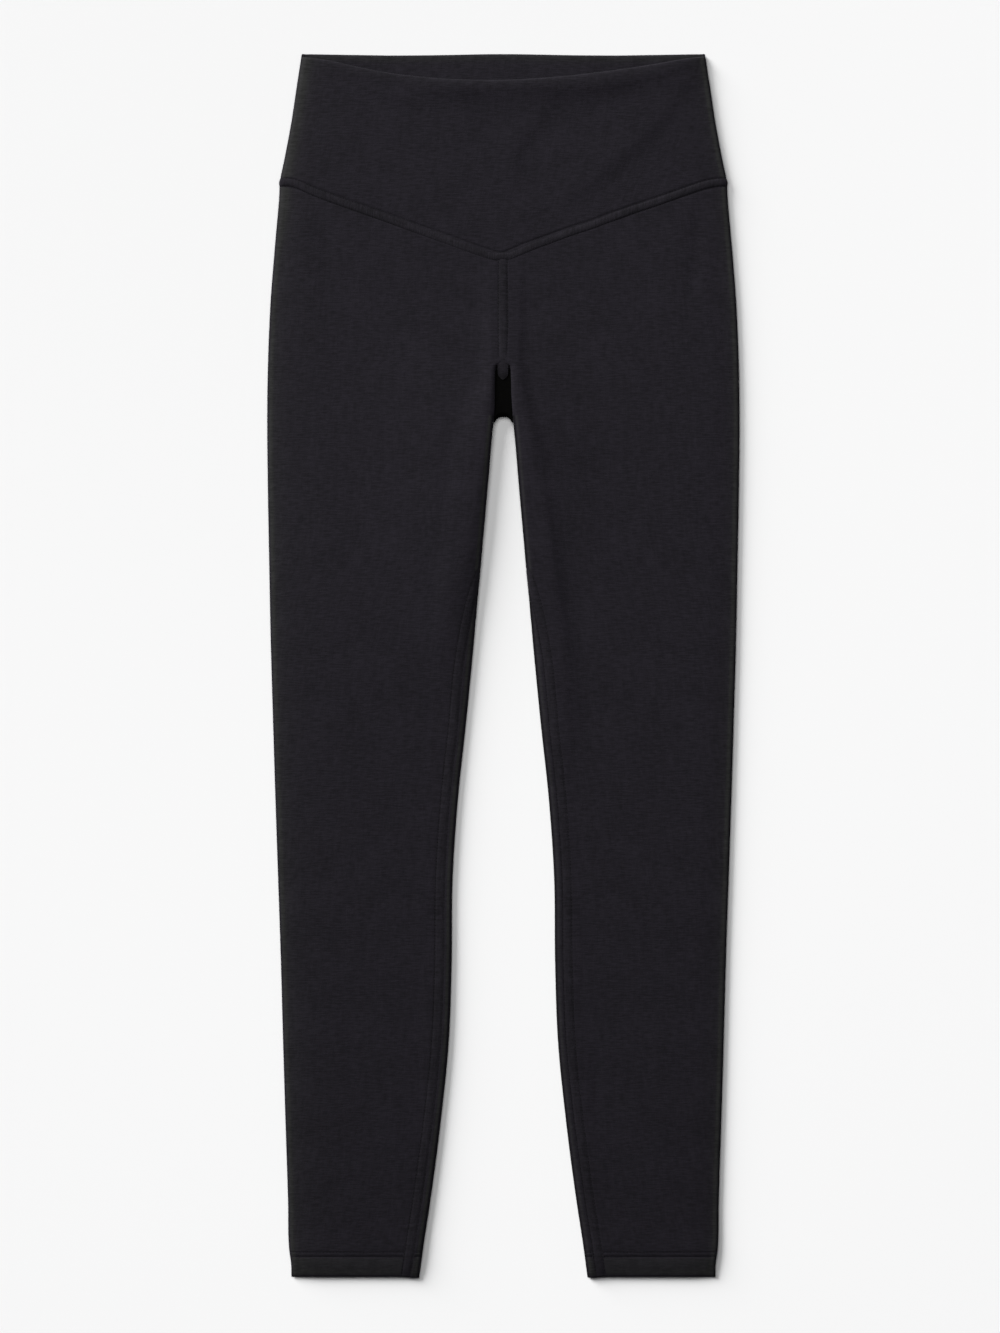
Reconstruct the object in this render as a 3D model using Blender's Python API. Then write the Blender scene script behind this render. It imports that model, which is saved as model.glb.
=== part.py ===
"""Leggings laid flat on a surface, front up, waist towards +Y.

The cloth is five sewn pieces: two wrapped legs, a diamond gusset folded at the crotch, and the
front and back of a doubled high waistband. Each piece is a wall between an outer and an inner
ring at every section. Sizes are in millimetres, heights run from the hem up, and distances
across run from the centre line; the meshes are in metres.
"""

import math
from collections import Counter, namedtuple

import bmesh
import bpy
import numpy as np

MM = 0.001

# Driving sizes
LENGTH = 953.9          # hem to the highest point of the back waistband
CROTCH = 671.0          # hem to the top of the gap between the legs
SLIT_TOP = 706.5        # lower end of the front rise seam
BACK_RISE_END = 712.0   # lower end of the back rise seam
BACK_YOKE = 853.6       # level seam between the back waistband and the legs
SEAM_GAP = 0.3          # distance between neighbouring pieces
LEG_WALL = 1.2          # one layer of brushed jersey
HEM_WALL = 2.0          # the same layer turned up on itself
HEM_DEPTH = 15.8
BAND_WALL = 2.0         # doubled waistband
RIB_HEIGHT = 0.6        # flatlock seams stand this far above the cloth
RIB_TOP = 2.4           # half width of a seam's raised top
RIB_FOOT = 3.5          # half width of a seam at its foot
NOSE = 5.0              # how far the upper half of a fold takes to reach its height
HEEL = 3.0              # how far the lower half of a fold takes to reach the surface below
SHOULDER = 24.0         # width of the soft roll along the side folds
SHOULDER_DROP = 0.7     # height lost across that roll
SEAM_FADE = 6.0         # the inseam stands up fully once it is this far past the inner fold
INSEAM_REACH = 9.0      # distance of the inseam from the inner fold where it lies on the front
GUSSET_BACK = 8.05      # half width of the gusset's back half at the crotch, with its gap
GUSSET_FOLD = 7.8       # half width of the gusset where it is folded
GUSSET_LAP = 7.2        # half width of its front half, which runs under the legs' lips
GUSSET_SAG = 1.2        # how far the folded edge dips towards the legs

CHARCOAL = (0.016, 0.0145, 0.0185)
BAND_CHARCOAL = (0.0165, 0.0150, 0.0190)
GUSSET_BLACK = (0.0030, 0.0030, 0.0032)

# Half width out to the side fold
Width = namedtuple("Width", "height half")
SIDE_FOLD = [
    Width(0, 165.4), Width(9, 165.4), Width(21, 166.9), Width(60, 167.9), Width(122, 169.9),
    Width(185, 171.8), Width(247, 173.5), Width(310, 175.6), Width(372, 177.7),
    Width(434, 179.6), Width(497, 181.4), Width(559, 182.6), Width(622, 183.7),
    Width(660, 184.1), Width(700, 183.8), Width(731, 182.9), Width(762, 181.4),
    Width(793, 179.0), Width(824, 176.3), Width(840, 174.9), Width(855, 174.0),
    Width(871, 170.8), Width(887, 167.7), Width(902, 165.0), Width(918, 162.6),
    Width(934, 160.2), Width(951, 157.6), Width(954, 157.2),
]

# Half width of the gap between the legs, out to the inner fold
INNER_FOLD = [
    Width(0, 65.6), Width(9, 64.4), Width(21, 62.8), Width(60, 56.9), Width(122, 48.8),
    Width(185, 42.5), Width(247, 40.3), Width(310, 39.6), Width(372, 35.5), Width(434, 28.9),
    Width(497, 22.8), Width(559, 17.2), Width(622, 11.9), Width(653, 9.8), Width(671, 8.2),
]

# Where the inseam lies: its distance round the inner fold on to the front
Seam = namedtuple("Seam", "height reach")
INSEAM = [Seam(0, 10.5), Seam(150, 10.3), Seam(300, 7.6), Seam(420, 8.8), Seam(480, 9.0),
          Seam(528, 4.0), Seam(560, 0.0), Seam(671, 0.0)]

# Edge of the front panel beside the gusset: distance from the centre line, height of its lip,
# and how fully it rolls down (1) or lies flat (0)
Lip = namedtuple("Lip", "height edge z roll")
FRONT_LIP = [Lip(CROTCH, 8.2, 2.5, 1.0), Lip(674, 7.4, 3.1, 1.0), Lip(679, 6.6, 3.1, 1.0),
             Lip(690, 6.2, 3.1, 1.0), Lip(701, 6.2, 3.1, 1.0),
             Lip(SLIT_TOP, SEAM_GAP / 2, 3.3, 0.5), Lip(BACK_RISE_END, SEAM_GAP / 2, 3.3, 0.0),
             Lip(BACK_YOKE, SEAM_GAP / 2, 3.3, 0.0)]

# Height of the top layer above the surface
Loft = namedtuple("Loft", "height top")
LOFT = [Loft(0, 4.8), Loft(22, 4.8), Loft(40, 4.5), Loft(300, 4.5), Loft(560, 4.8),
        Loft(671, 5.0), Loft(790, 5.1), Loft(853, 5.5), Loft(955, 5.4)]

# Ridge and trough running down each inner thigh: distances from the centre line, how far the
# ridge stands and the trough sinks, and the width of both
Thigh = namedtuple("Thigh", "height crest trough lift sink width")
THIGH_FOLD = {
    "leg_left": [
        Thigh(0, 88, 100, 0, 0, 8), Thigh(260, 62, 78, 0, 0, 8), Thigh(403, 50, 66, 0, 0, 8),
        Thigh(450, 45, 61, 0.4, 0.3, 8), Thigh(500, 38, 53, 0.8, 0.6, 7),
        Thigh(560, 30, 43, 1.0, 0.8, 6.5), Thigh(610, 23, 35, 1.1, 0.9, 6),
        Thigh(655, 17.5, 27, 1.1, 0.9, 5), Thigh(684, 14, 21, 1.1, 0.9, 4.5),
        Thigh(702, 12.8, 19, 1.0, 0.9, 4), Thigh(719, 9.5, 16, 0.8, 0.8, 4),
        Thigh(778, 8.5, 15, 0.3, 0.3, 4), Thigh(797, 8.5, 15, 0, 0, 4),
        Thigh(860, 8.5, 15, 0, 0, 4)],
    "leg_right": [
        Thigh(0, 88, 102, 0, 0, 8), Thigh(260, 70, 88, 0, 0, 8), Thigh(403, 62, 80, 0, 0, 10),
        Thigh(460, 58, 76, 0.4, 0.1, 10), Thigh(500, 54, 72, 0.8, 0.2, 10),
        Thigh(548, 48, 66, 1.0, 0.3, 9), Thigh(608, 33, 50, 1.1, 0.3, 8),
        Thigh(655, 25, 41, 1.2, 0.3, 7), Thigh(684, 19, 33, 1.2, 0.3, 6),
        Thigh(719, 12, 24, 0.9, 0.3, 5), Thigh(778, 9, 18, 0.2, 0.1, 5),
        Thigh(797, 8.5, 17, 0, 0, 5), Thigh(860, 8.5, 17, 0, 0, 5)],
}

# Lower edge of the front waistband, from the wearer's right side fold to the left one
Edge = namedtuple("Edge", "across height")
FRONT_YOKE = [Edge(-176, 853.6), Edge(-165, 853.0), Edge(-146.6, 845.7), Edge(-120.9, 836.4),
              Edge(-94.4, 827.2), Edge(-68.6, 818.0), Edge(-42.9, 809.2), Edge(-17.2, 800.6),
              Edge(-1.6, 797.4), Edge(14, 800.9), Edge(34.3, 809.4), Edge(60.8, 819.6),
              Edge(86.6, 829.4), Edge(112.3, 839.1), Edge(138, 848.2), Edge(158, 853.0),
              Edge(176, 853.6)]

# Top rim of the front waistband
FRONT_RIM = [Edge(-159, 951.6), Edge(-136, 948.4), Edge(-112, 943.0), Edge(-89, 938.6),
             Edge(-65, 935.6), Edge(-42, 933.8), Edge(-12, 932.9), Edge(28, 934.3),
             Edge(52, 936.4), Edge(75, 939.1), Edge(98, 942.2), Edge(122, 946.1),
             Edge(145, 950.2), Edge(159, 951.6)]
BACK_TOP = 952.8        # top of the back waistband at the sides
BACK_PEAK = 1.1         # rise of that edge at the centre back
BACK_PEAK_WIDTH = 45.0

# The rim's rounded edge and the shallow roll behind it, by distance from the edge
Roll = namedtuple("Roll", "inset lift")
RIM_ROLL = [Roll(0, -0.7), Roll(0.3, -0.2), Roll(1.2, 0.1), Roll(3, 0.25), Roll(8, 0)]

# Soft troughs in the front waistband: ends and middle (across, height), half width and depth
Trough = namedtuple("Trough", "start middle end width depth")
BAND_TROUGHS = [
    Trough((138, 921), (113, 887), (46, 830), 8, 0.7),      # drag line from the left hip
    Trough((142, 941), (100, 926), (46, 921), 7, 0.5),      # under the rim, wearer's left
    Trough((-130, 936), (-104, 930), (-78, 928), 7, 0.4),   # under the rim, wearer's right
    Trough((-62, 922), (-36, 919), (-4, 924), 8, 0.4),      # under the rim, middle
    Trough((26, 915), (6, 898), (-8, 872), 10, 0.35),       # short fold down from the middle
]
TROUGH_POINTS = 25      # points along each trough's curve
TROUGH_TAPER = 0.7      # how quickly a trough fades at its ends

# Columns round a leg. The front runs from its seam to the side fold, the back returns, and the
# last columns wrap the inner fold up to the seam.
SEAM_STEPS = (0, 0.6, RIB_TOP, RIB_FOOT, 5.5)               # from the front panel's edge
FLAT_STEPS = (0.16, 0.33, 0.5, 0.67, 0.84)                  # shares of a layer's flat
SIDE_STEPS = (SHOULDER, 13, NOSE, 2, 0.5, 0)                # in from the side fold, on top
HEEL_STEPS = (0.5, 1.5, HEEL)                               # in from the side fold, below
WRAP_NEAR = (-6, -4.4, -3, -1.9, -1.1, -0.5, -0.2, -0.05)   # where the seam is on the fold
WRAP_FAR = (-6, -3, -1, 0, 1.2)                             # where the seam is on the front
WRAP_SEAM = (RIB_FOOT, RIB_TOP, SEAM_GAP)                   # and back from that seam

# Rows of a leg: heights up to the crotch, heights beside the gusset, then shares of the way up
# to the waistband and the steps of its seam
HEM_ROWS = (0, HEM_DEPTH, HEM_DEPTH + 1.6, 26)
LOWER_ROWS = HEM_ROWS + (60, 100, 142, 185, 231, 278, 325, 372, 418, 462, 497, 528, 560, 595,
                         630, 655, CROTCH)
SLIT_ROWS = (674, 679, 690, 701, SLIT_TOP, BACK_RISE_END)
RISE_SHARES = (0.3, 0.65)
RISE_STEPS = (RIB_FOOT, RIB_TOP, SEAM_GAP / 2)

# Rows and columns of the waistband
BAND_STEPS = (SEAM_GAP / 2, RIB_TOP, RIB_FOOT)              # up from the V seam
BAND_ROWS = 12
BAND_COLUMNS = 32
RIM_STEPS = (1.2, 0.3, 0)                                   # down from the rim
BACK_SHARES = (0, 0.25, 0.5, 0.75, 0.97, 1)
BACK_COLUMNS = 12
PASSES = 5              # rounds in which sloping rows settle on their columns


def smooth(table, at, column):
    """Read a table's named column at the given places, along a curve with no corners."""
    places = np.array([row[0] for row in table], float)
    values = np.array([getattr(row, column) for row in table], float)
    slopes = np.gradient(values, places)
    at = np.clip(at, places[0], places[-1])
    i = np.clip(np.searchsorted(places, at) - 1, 0, len(places) - 2)
    span = places[i + 1] - places[i]
    t = (at - places[i]) / span
    rise = (3 - 2 * t) * t * t
    lead = t * (1 - t) ** 2 * span * slopes[i]
    trail = t * t * (1 - t) * span * slopes[i + 1]
    return values[i] * (1 - rise) + values[i + 1] * rise + lead - trail


def straight(table, at, column):
    """Read a table's named column at the given places, along straight lines."""
    return np.interp(at, [row[0] for row in table], [getattr(row, column) for row in table])


def quarter(inset, reach):
    """Height of a fold's quarter ellipse: 0 at its nose, 1 from reach inwards."""
    t = np.clip(inset / reach, 0, 1)
    return np.sqrt(1 - (1 - t) ** 2)


def loft(height, inset):
    """Outer height of a flat top layer, with the soft roll along the side fold."""
    t = np.clip((inset - NOSE) / (SHOULDER - NOSE), 0, 1)
    return smooth(LOFT, height, "top") - SHOULDER_DROP * (1 - t) ** 2


def rib(distance):
    """Extra height of a flatlock seam at a distance from its middle."""
    return RIB_HEIGHT * np.clip((RIB_FOOT - np.abs(distance)) / (RIB_FOOT - RIB_TOP), 0, 1)


def trough_depth(across, height):
    """How far the front waistband's troughs sink at a point: the deepest of their soft sides."""
    depth = np.zeros_like(across)
    t = np.linspace(0, 1, TROUGH_POINTS)[:, None]
    fade = np.sin(math.pi * (0.1 + 0.8 * t[:, 0])) ** TROUGH_TAPER
    for trough in BAND_TROUGHS:
        line = ((1 - t) ** 2 * trough.start + 2 * t * (1 - t) * np.array(trough.middle)
                + t ** 2 * trough.end)
        away = np.hypot(across[..., None] - line[:, 0], height[..., None] - line[:, 1])
        soft = np.exp(-(away.min(-1) / trough.width) ** 2)
        depth = np.maximum(depth, trough.depth * fade[away.argmin(-1)] * soft)
    return depth


def cloth(name, outer, inner, closed_rows, colour):
    """Make a closed wall from its outer and inner rings, given as rows of points.

    The first closed_rows rows are whole rings, joined from last point to first; the rest are
    open, and every open edge gets a rim between the two surfaces.
    """
    rows, columns = outer.shape[:2]
    quads = []
    for i in range(rows - 1):
        for j in range(columns):
            k = (j + 1) % columns
            if k or i + 1 < closed_rows:
                quads.append((i * columns + j, i * columns + k,
                              (i + 1) * columns + k, (i + 1) * columns + j))
    lift = rows * columns
    sides = [(q[n], q[(n + 1) % 4]) for q in quads for n in range(4)]
    uses = Counter(frozenset(side) for side in sides)
    rims = [(b, a, a + lift, b + lift) for a, b in sides if uses[frozenset((a, b))] == 1]
    lining = [tuple(v + lift for v in reversed(q)) for q in quads]

    points = np.concatenate([outer.reshape(-1, 3), inner.reshape(-1, 3)]) * MM
    mesh = bpy.data.meshes.new(name)
    mesh.from_pydata(points.tolist(), [], quads + rims + lining)
    shape = bmesh.new()
    shape.from_mesh(mesh)
    bmesh.ops.recalc_face_normals(shape, faces=shape.faces)
    shape.to_mesh(mesh)
    shape.free()
    mesh.shade_smooth()
    mesh.set_sharp_from_angle(angle=math.radians(50))

    piece = bpy.data.objects.new(name, mesh)
    piece.location = (0, -LENGTH / 2 * MM, 0)
    mesh.materials.append(fabric(name + "_cloth", colour))
    bpy.data.collections["leggings"].objects.link(piece)
    return piece


def fabric(name, colour):
    """A matte jersey of one colour."""
    material = bpy.data.materials.new(name)
    material.use_nodes = True
    shader = material.node_tree.nodes["Principled BSDF"]
    shader.inputs["Base Color"].default_value = (*colour, 1)
    shader.inputs["Roughness"].default_value = 0.9
    shader.inputs["Metallic"].default_value = 0.0
    return material


def front_points(height, across, folds, wall):
    """Points of a leg's top layer; a wall of 0 gives its outer side."""
    below = height <= CROTCH
    middle = smooth(LOFT, height, "top") / 2
    edge = np.where(below, smooth(INNER_FOLD, height, "half"),
                    straight(FRONT_LIP, height, "edge"))
    base = np.where(below, middle, straight(FRONT_LIP, height, "z"))
    roll = np.where(below, 1, straight(FRONT_LIP, height, "roll"))
    outside = smooth(SIDE_FOLD, height, "half") - across
    inside = across - edge

    width = smooth(folds, height, "width")
    ridge = np.exp(-((across - smooth(folds, height, "crest")) / width) ** 2)
    trough = np.exp(-((across - smooth(folds, height, "trough")) / width) ** 2)
    top = (loft(height, outside) - wall + ridge * smooth(folds, height, "lift")
           - trough * smooth(folds, height, "sink"))
    z = middle + (top - middle) * quarter(outside, NOSE)
    z = base + (z - base) * (1 - roll * (1 - quarter(inside, NOSE)))
    shift = roll * np.clip(1 - inside / NOSE, 0, 1) - np.clip(1 - outside / NOSE, 0, 1)
    return across + wall * shift, z


def back_points(height, inset, edge, towards, wall):
    """Points of a leg's bottom layer, at an inset from a fold's edge; towards points inwards."""
    middle = smooth(LOFT, height, "top") / 2
    z = middle - (middle - wall) * quarter(inset, HEEL)
    return edge + towards * (inset + wall * np.clip(1 - inset / HEEL, 0, 1)), z


def wrap_points(height, near, far, edge, folds, wall):
    """Points of one column round the inner fold, or beside the back rise above the crotch."""
    reach = straight(INSEAM, height, "reach")
    share = np.clip(reach / INSEAM_REACH, 0, 1)
    along = near * (1 - share) + far * share
    under = back_points(height, -np.minimum(along, 0), edge, 1, wall)
    over = front_points(height, edge + np.maximum(along, 0), folds, wall)
    stand = np.where(wall == 0, rib(reach - along) * np.clip(reach / SEAM_FADE, 0, 1), 0)
    across = np.where(along > 0, over[0], under[0])
    z = np.where(along > 0, over[1] + stand, under[1])
    flat = height > CROTCH
    return np.where(flat, edge - along, across), np.where(flat, wall, z)


def leg_section(height, folds, wall):
    """One leg's section through every column; height and wall are grids of rows by columns."""
    lower = height <= CROTCH
    side = smooth(SIDE_FOLD, height, "half")
    inner = smooth(INNER_FOLD, height, "half")
    reach = straight(INSEAM, height, "reach")
    start = np.where(lower, inner + reach, straight(FRONT_LIP, height, "edge"))
    crest, trough = smooth(folds, height, "crest"), smooth(folds, height, "trough")
    foot = trough + smooth(folds, height, "width")

    places = [start + step for step in SEAM_STEPS] + [crest, trough]
    places += [foot + (side - SHOULDER - foot) * step for step in (0,) + FLAT_STEPS]
    places += [side - step for step in SIDE_STEPS]
    across, z = np.empty_like(height), np.empty_like(height)
    for j, place in enumerate(places):
        across[:, j] = place[:, j]
    front = slice(0, FRONT_COLUMNS)
    stand = np.where(lower, reach / SEAM_FADE, (height - SLIT_TOP) / (BACK_RISE_END - SLIT_TOP))
    stand = rib(across - start) * np.clip(stand, 0, 1) * (wall == 0)
    across[:, front], z[:, front] = front_points(
        height[:, front], across[:, front], folds, wall[:, front])
    z[:, front] += stand[:, front]

    for j, step in enumerate(HEEL_STEPS, FRONT_COLUMNS):
        across[:, j], z[:, j] = back_points(height[:, j], step, side[:, j], -1, wall[:, j])

    tail = np.clip((BACK_RISE_END - height) / (BACK_RISE_END - CROTCH), 0, 1)
    edge = np.where(lower, inner, SEAM_GAP / 2 + GUSSET_BACK * tail)
    for j, step in enumerate(FLAT_STEPS, FRONT_COLUMNS + len(HEEL_STEPS)):
        first, last = side[:, j] - HEEL, edge[:, j] - WRAP_NEAR[0]
        across[:, j] = first + (last - first) * step
        z[:, j] = wall[:, j]

    for n, near in enumerate(WRAP_NEAR):
        j = n - len(WRAP_NEAR)
        before_seam = n - len(WRAP_FAR)
        far = WRAP_FAR[n] if before_seam < 0 else reach[:, j] - WRAP_SEAM[before_seam]
        across[:, j], z[:, j] = wrap_points(height[:, j], near, far, edge[:, j], folds, wall[:, j])
    return across, z


FRONT_COLUMNS = len(SEAM_STEPS) + 2 + 1 + len(FLAT_STEPS) + len(SIDE_STEPS)
LEG_COLUMNS = FRONT_COLUMNS + len(HEEL_STEPS) + len(FLAT_STEPS) + len(WRAP_NEAR)


def leg(name, side):
    """A leg, from the hem to the waistband; side is +1 for the wearer's left, -1 for the right."""
    folds = THIGH_FOLD[name]
    lower = np.array(LOWER_ROWS + SLIT_ROWS, float)
    rows = len(lower) + len(RISE_SHARES) + len(RISE_STEPS)
    height = np.full((rows, LEG_COLUMNS), BACK_YOKE)
    height[:len(lower)] = lower[:, None]
    no_wall = np.zeros_like(height)
    for _ in range(PASSES):
        across, z = leg_section(height, folds, no_wall)
        seam = np.full(height.shape, BACK_YOKE)
        seam[:, :FRONT_COLUMNS] = smooth(FRONT_YOKE, side * across[:, :FRONT_COLUMNS], "height")
        for row, share in enumerate(RISE_SHARES, len(lower)):
            height[row] = BACK_RISE_END + (seam[row] - BACK_RISE_END) * share
        for row, step in enumerate(RISE_STEPS, rows - len(RISE_STEPS)):
            height[row] = seam[row] - step

    wall = np.where(height <= HEM_DEPTH, HEM_WALL, LEG_WALL)
    inner_across, inner_z = leg_section(height, folds, wall)
    inset = smooth(SIDE_FOLD, height, "half") - across
    stand = rib(seam - height) * quarter(inset, NOSE) ** 2
    stand[:, FRONT_COLUMNS:] = 0
    outer = np.stack([side * across, height, z + stand], -1)
    inner = np.stack([side * inner_across, height, inner_z], -1)
    return cloth(name, outer, inner, len(LOWER_ROWS), CHARCOAL)


def band_surface(height, across, top, base, reach, wall):
    """Points of half a waistband; from its folds' base, a quarter ellipse leads to its top."""
    inset = smooth(SIDE_FOLD, height, "half") - np.abs(across)
    z = base + (top - base) * quarter(inset, reach)
    return across - np.sign(across) * wall * np.clip(1 - inset / reach, 0, 1), z


def waistband_front():
    """The front of the waistband, from the V seam to its dipped rim."""
    steps = np.array(SIDE_STEPS, float)
    ends = len(steps)
    share = np.linspace(-1, 1, BAND_COLUMNS)[1:-1]
    first = len(BAND_STEPS[:-1])
    climb = np.linspace(0, 1, BAND_ROWS)
    rows = first + BAND_ROWS + len(RIM_STEPS)
    height = np.full((rows, 2 * ends + len(share)), BACK_YOKE)
    for _ in range(PASSES):
        side = smooth(SIDE_FOLD, height, "half")
        across = np.empty_like(height)
        across[:, :ends] = steps[::-1] - side[:, :ends]
        across[:, ends:-ends] = (side[:, ends:-ends] - SHOULDER) * share
        across[:, -ends:] = side[:, -ends:] - steps
        seam = smooth(FRONT_YOKE, across, "height")
        rim = smooth(FRONT_RIM, across, "height")
        for row, step in enumerate(BAND_STEPS[:-1]):
            height[row] = seam[row] + step
        for row, part in enumerate(climb, first):
            low, high = seam[row] + BAND_STEPS[-1], rim[row] - RIM_ROLL[-2].inset
            height[row] = low + (high - low) * part
        for row, step in enumerate(RIM_STEPS, rows - len(RIM_STEPS)):
            height[row] = rim[row] - step

    inset = side - np.abs(across)
    base = smooth(LOFT, height, "top") / 2 + SEAM_GAP / 2
    top = loft(height, inset) - trough_depth(across, height)
    x, z = band_surface(height, across, top, base, NOSE, 0)
    stand = rib(height - seam) + straight(RIM_ROLL, rim - height, "lift")
    outer = np.stack([x, height, z + stand * quarter(inset, NOSE) ** 2], -1)
    x, z = band_surface(height, across, top - BAND_WALL, base, NOSE, BAND_WALL)
    return cloth("waistband_front", outer, np.stack([x, height, z], -1), 0, BAND_CHARCOAL)


def waistband_back():
    """The back of the waistband, level below and a little higher at the centre."""
    steps = np.array((0,) + HEEL_STEPS[:-1], float)
    ends = len(steps)
    share = np.linspace(-1, 1, BACK_COLUMNS)
    low = BACK_YOKE + SEAM_GAP / 2
    height = np.full((len(BACK_SHARES), 2 * ends + BACK_COLUMNS), low)
    for _ in range(PASSES):
        side = smooth(SIDE_FOLD, height, "half")
        across = np.empty_like(height)
        across[:, :ends] = steps - side[:, :ends]
        across[:, ends:-ends] = (side[:, ends:-ends] - HEEL) * share
        across[:, -ends:] = side[:, -ends:] - steps[::-1]
        high = BACK_TOP + BACK_PEAK * np.exp(-(across / BACK_PEAK_WIDTH) ** 2)
        height = low + (high - low) * np.array(BACK_SHARES)[:, None]

    base = smooth(LOFT, height, "top") / 2 - SEAM_GAP / 2
    surfaces = []
    for wall in (0, BAND_WALL):
        x, z = band_surface(height, across, wall, base, HEEL, wall)
        surfaces.append(np.stack([x, height, z], -1))
    return cloth("waistband_back", *surfaces, 0, BAND_CHARCOAL)


def gusset():
    """The diamond gusset, folded in half at the crotch, its front half under the legs' lips."""
    layer = LEG_WALL + SEAM_GAP
    top = 2 * layer - SEAM_GAP
    bend = top / 2
    centre = CROTCH + 0.6 + bend
    taper = GUSSET_BACK / (BACK_RISE_END - CROTCH)
    front = [Width(709, 4.0), Width(705, GUSSET_LAP), Width(696, GUSSET_LAP),
             Width(688, GUSSET_LAP), Width(680, GUSSET_LAP)]
    back = [Width(height, taper * (BACK_RISE_END - height) - SEAM_GAP / 2)
            for height in (680, 688, 696, 702, 708)]
    shares = np.array((-1, -0.5, 0, 0.5, 1))

    outer, inner = [], []
    for row in front:
        outer.append([(share * row.half, row.height, top) for share in shares])
        inner.append([(share * row.half, row.height, layer) for share in shares])
    for turn in np.radians((90, 60, 30, 0, -30, -60, -90)):
        for rows, radius in ((outer, bend), (inner, SEAM_GAP / 2)):
            rows.append([(share * GUSSET_FOLD,
                          centre - GUSSET_SAG * share ** 2 - radius * math.cos(turn),
                          bend + radius * math.sin(turn)) for share in shares])
    for row in back:
        outer.append([(share * row.half, row.height, 0) for share in shares])
        inner.append([(share * row.half, row.height, LEG_WALL) for share in shares])
    return cloth("gusset", np.array(outer), np.array(inner), 0, GUSSET_BLACK)


def main():
    """Clear the scene and make the five pieces."""
    for item in list(bpy.data.objects):
        bpy.data.objects.remove(item, do_unlink=True)
    collection = bpy.data.collections.new("leggings")
    bpy.context.scene.collection.children.link(collection)
    leg("leg_left", 1)
    leg("leg_right", -1)
    gusset()
    waistband_front()
    waistband_back()


main()
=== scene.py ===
"""Leggings laid flat, front up, waist towards +Y: their cloth, seams, light and camera.

Two wrapped legs, a diamond gusset and the front and back of a doubled waistband stand for the
frame's solids. Flatlock seams and rows of cover stitching lie on them. Sizes are in millimetres:
heights run from the hem up and distances across run from the centre line, positive on the
wearer's left. Meshes are in metres, in the frame's own place.
"""

import logging
import math
from dataclasses import dataclass
from enum import Enum

import bpy
import numpy as np
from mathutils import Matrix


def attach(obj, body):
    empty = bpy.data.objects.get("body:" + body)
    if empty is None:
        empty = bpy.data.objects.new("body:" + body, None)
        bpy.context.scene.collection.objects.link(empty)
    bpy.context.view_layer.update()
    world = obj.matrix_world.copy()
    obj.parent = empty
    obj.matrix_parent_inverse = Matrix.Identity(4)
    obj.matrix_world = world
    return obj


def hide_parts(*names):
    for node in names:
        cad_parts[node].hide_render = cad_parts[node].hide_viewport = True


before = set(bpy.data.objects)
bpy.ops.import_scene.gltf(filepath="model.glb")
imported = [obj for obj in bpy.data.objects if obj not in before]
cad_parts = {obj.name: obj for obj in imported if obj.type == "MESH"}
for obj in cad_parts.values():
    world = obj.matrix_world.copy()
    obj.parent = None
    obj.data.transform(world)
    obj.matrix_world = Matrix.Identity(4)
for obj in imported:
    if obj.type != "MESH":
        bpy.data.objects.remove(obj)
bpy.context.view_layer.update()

Array = np.ndarray
Arrays = tuple[Array, Array]
Piece = bpy.types.Object
Pair = tuple[float, float]
Numbers = tuple[float, ...]

LOG = logging.getLogger("leggings")
BODY = "root"
MM = 0.001
UV_MAP = "cloth"
# Point attribute of lightness; it carries painted highlights, sheen and shade, and the paler hem
TONE = "tone"
SHARP_DEGREES = 55
RIM_PINCH = 0.42


class Side(Enum):
    """One of the wearer's sides; the value is the sign of its distances across."""

    LEFT = 1
    RIGHT = -1


class Slot(Enum):
    """The record's material slots."""

    LEG = "leg_jersey"
    BAND = "band_jersey"
    GUSSET = "gusset_jersey"


# --- Sizes and curves


def ramp(at: Array, start: float, end: float) -> Array:
    """Straight way from 0 at the start to 1 at the end, level beyond both."""
    return np.clip((at - start) / (end - start), 0, 1)


def s_curve(share: Array) -> Array:
    """Way from 0 to 1 that is level at both ends: three squares less two cubes."""
    return (3 - 2 * share) * share * share


@dataclass(frozen=True)
class Table:
    """Rows of numbers, read by their first column.

    Attributes:
        columns: Names of the columns after the first.
        rows: One tuple a row, with the first number rising.
    """

    columns: tuple[str, ...]
    rows: tuple[Numbers, ...]

    def _column(self, name: str) -> Arrays:
        """Give the first column and a named one."""
        table = np.array(self.rows, float)
        return table[:, 0], table[:, 1 + self.columns.index(name)]

    def straight(self, name: str, at: Array) -> Array:
        """Read a column along straight lines."""
        return np.interp(at, *self._column(name))

    def smooth(self, name: str, at: Array) -> Array:
        """Read a column along a curve with no corners.

        Between two rows it is the cubic that has their values and, at each of them, the slope
        of the rows around it.

        Args:
            name: The column's name.
            at: Places in the first column.

        Returns:
            The column's value at each place.
        """
        places, values = self._column(name)
        slopes = np.gradient(values, places)
        at = np.clip(at, places[0], places[-1])
        i = np.clip(np.searchsorted(places, at) - 1, 0, len(places) - 2)
        span = places[i + 1] - places[i]
        t = (at - places[i]) / span
        rise = s_curve(t)
        lead = t * (1 - t) ** 2 * span * slopes[i]
        trail = t * t * (1 - t) * span * slopes[i + 1]
        return values[i] * (1 - rise) + values[i + 1] * rise + lead - trail


def quarter(inset: Array, reach: float | Array) -> Array:
    """Height of a quarter circle at an inset: 0 at its nose, 1 from its reach inwards."""
    t = np.clip(inset / reach, 0, 1)
    return np.sqrt(1 - (1 - t) ** 2)


def bell(distance: Array, width: float | Array) -> Array:
    """Soft hump: 1 at no distance, about a third at one width."""
    return np.exp(-((distance / width) ** 2))


def arc_insets(reach: float, degrees: Numbers) -> Array:
    """Insets at which a quarter circle of that reach has turned by these angles."""
    return reach * (1 - np.cos(np.radians(degrees)))


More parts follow.
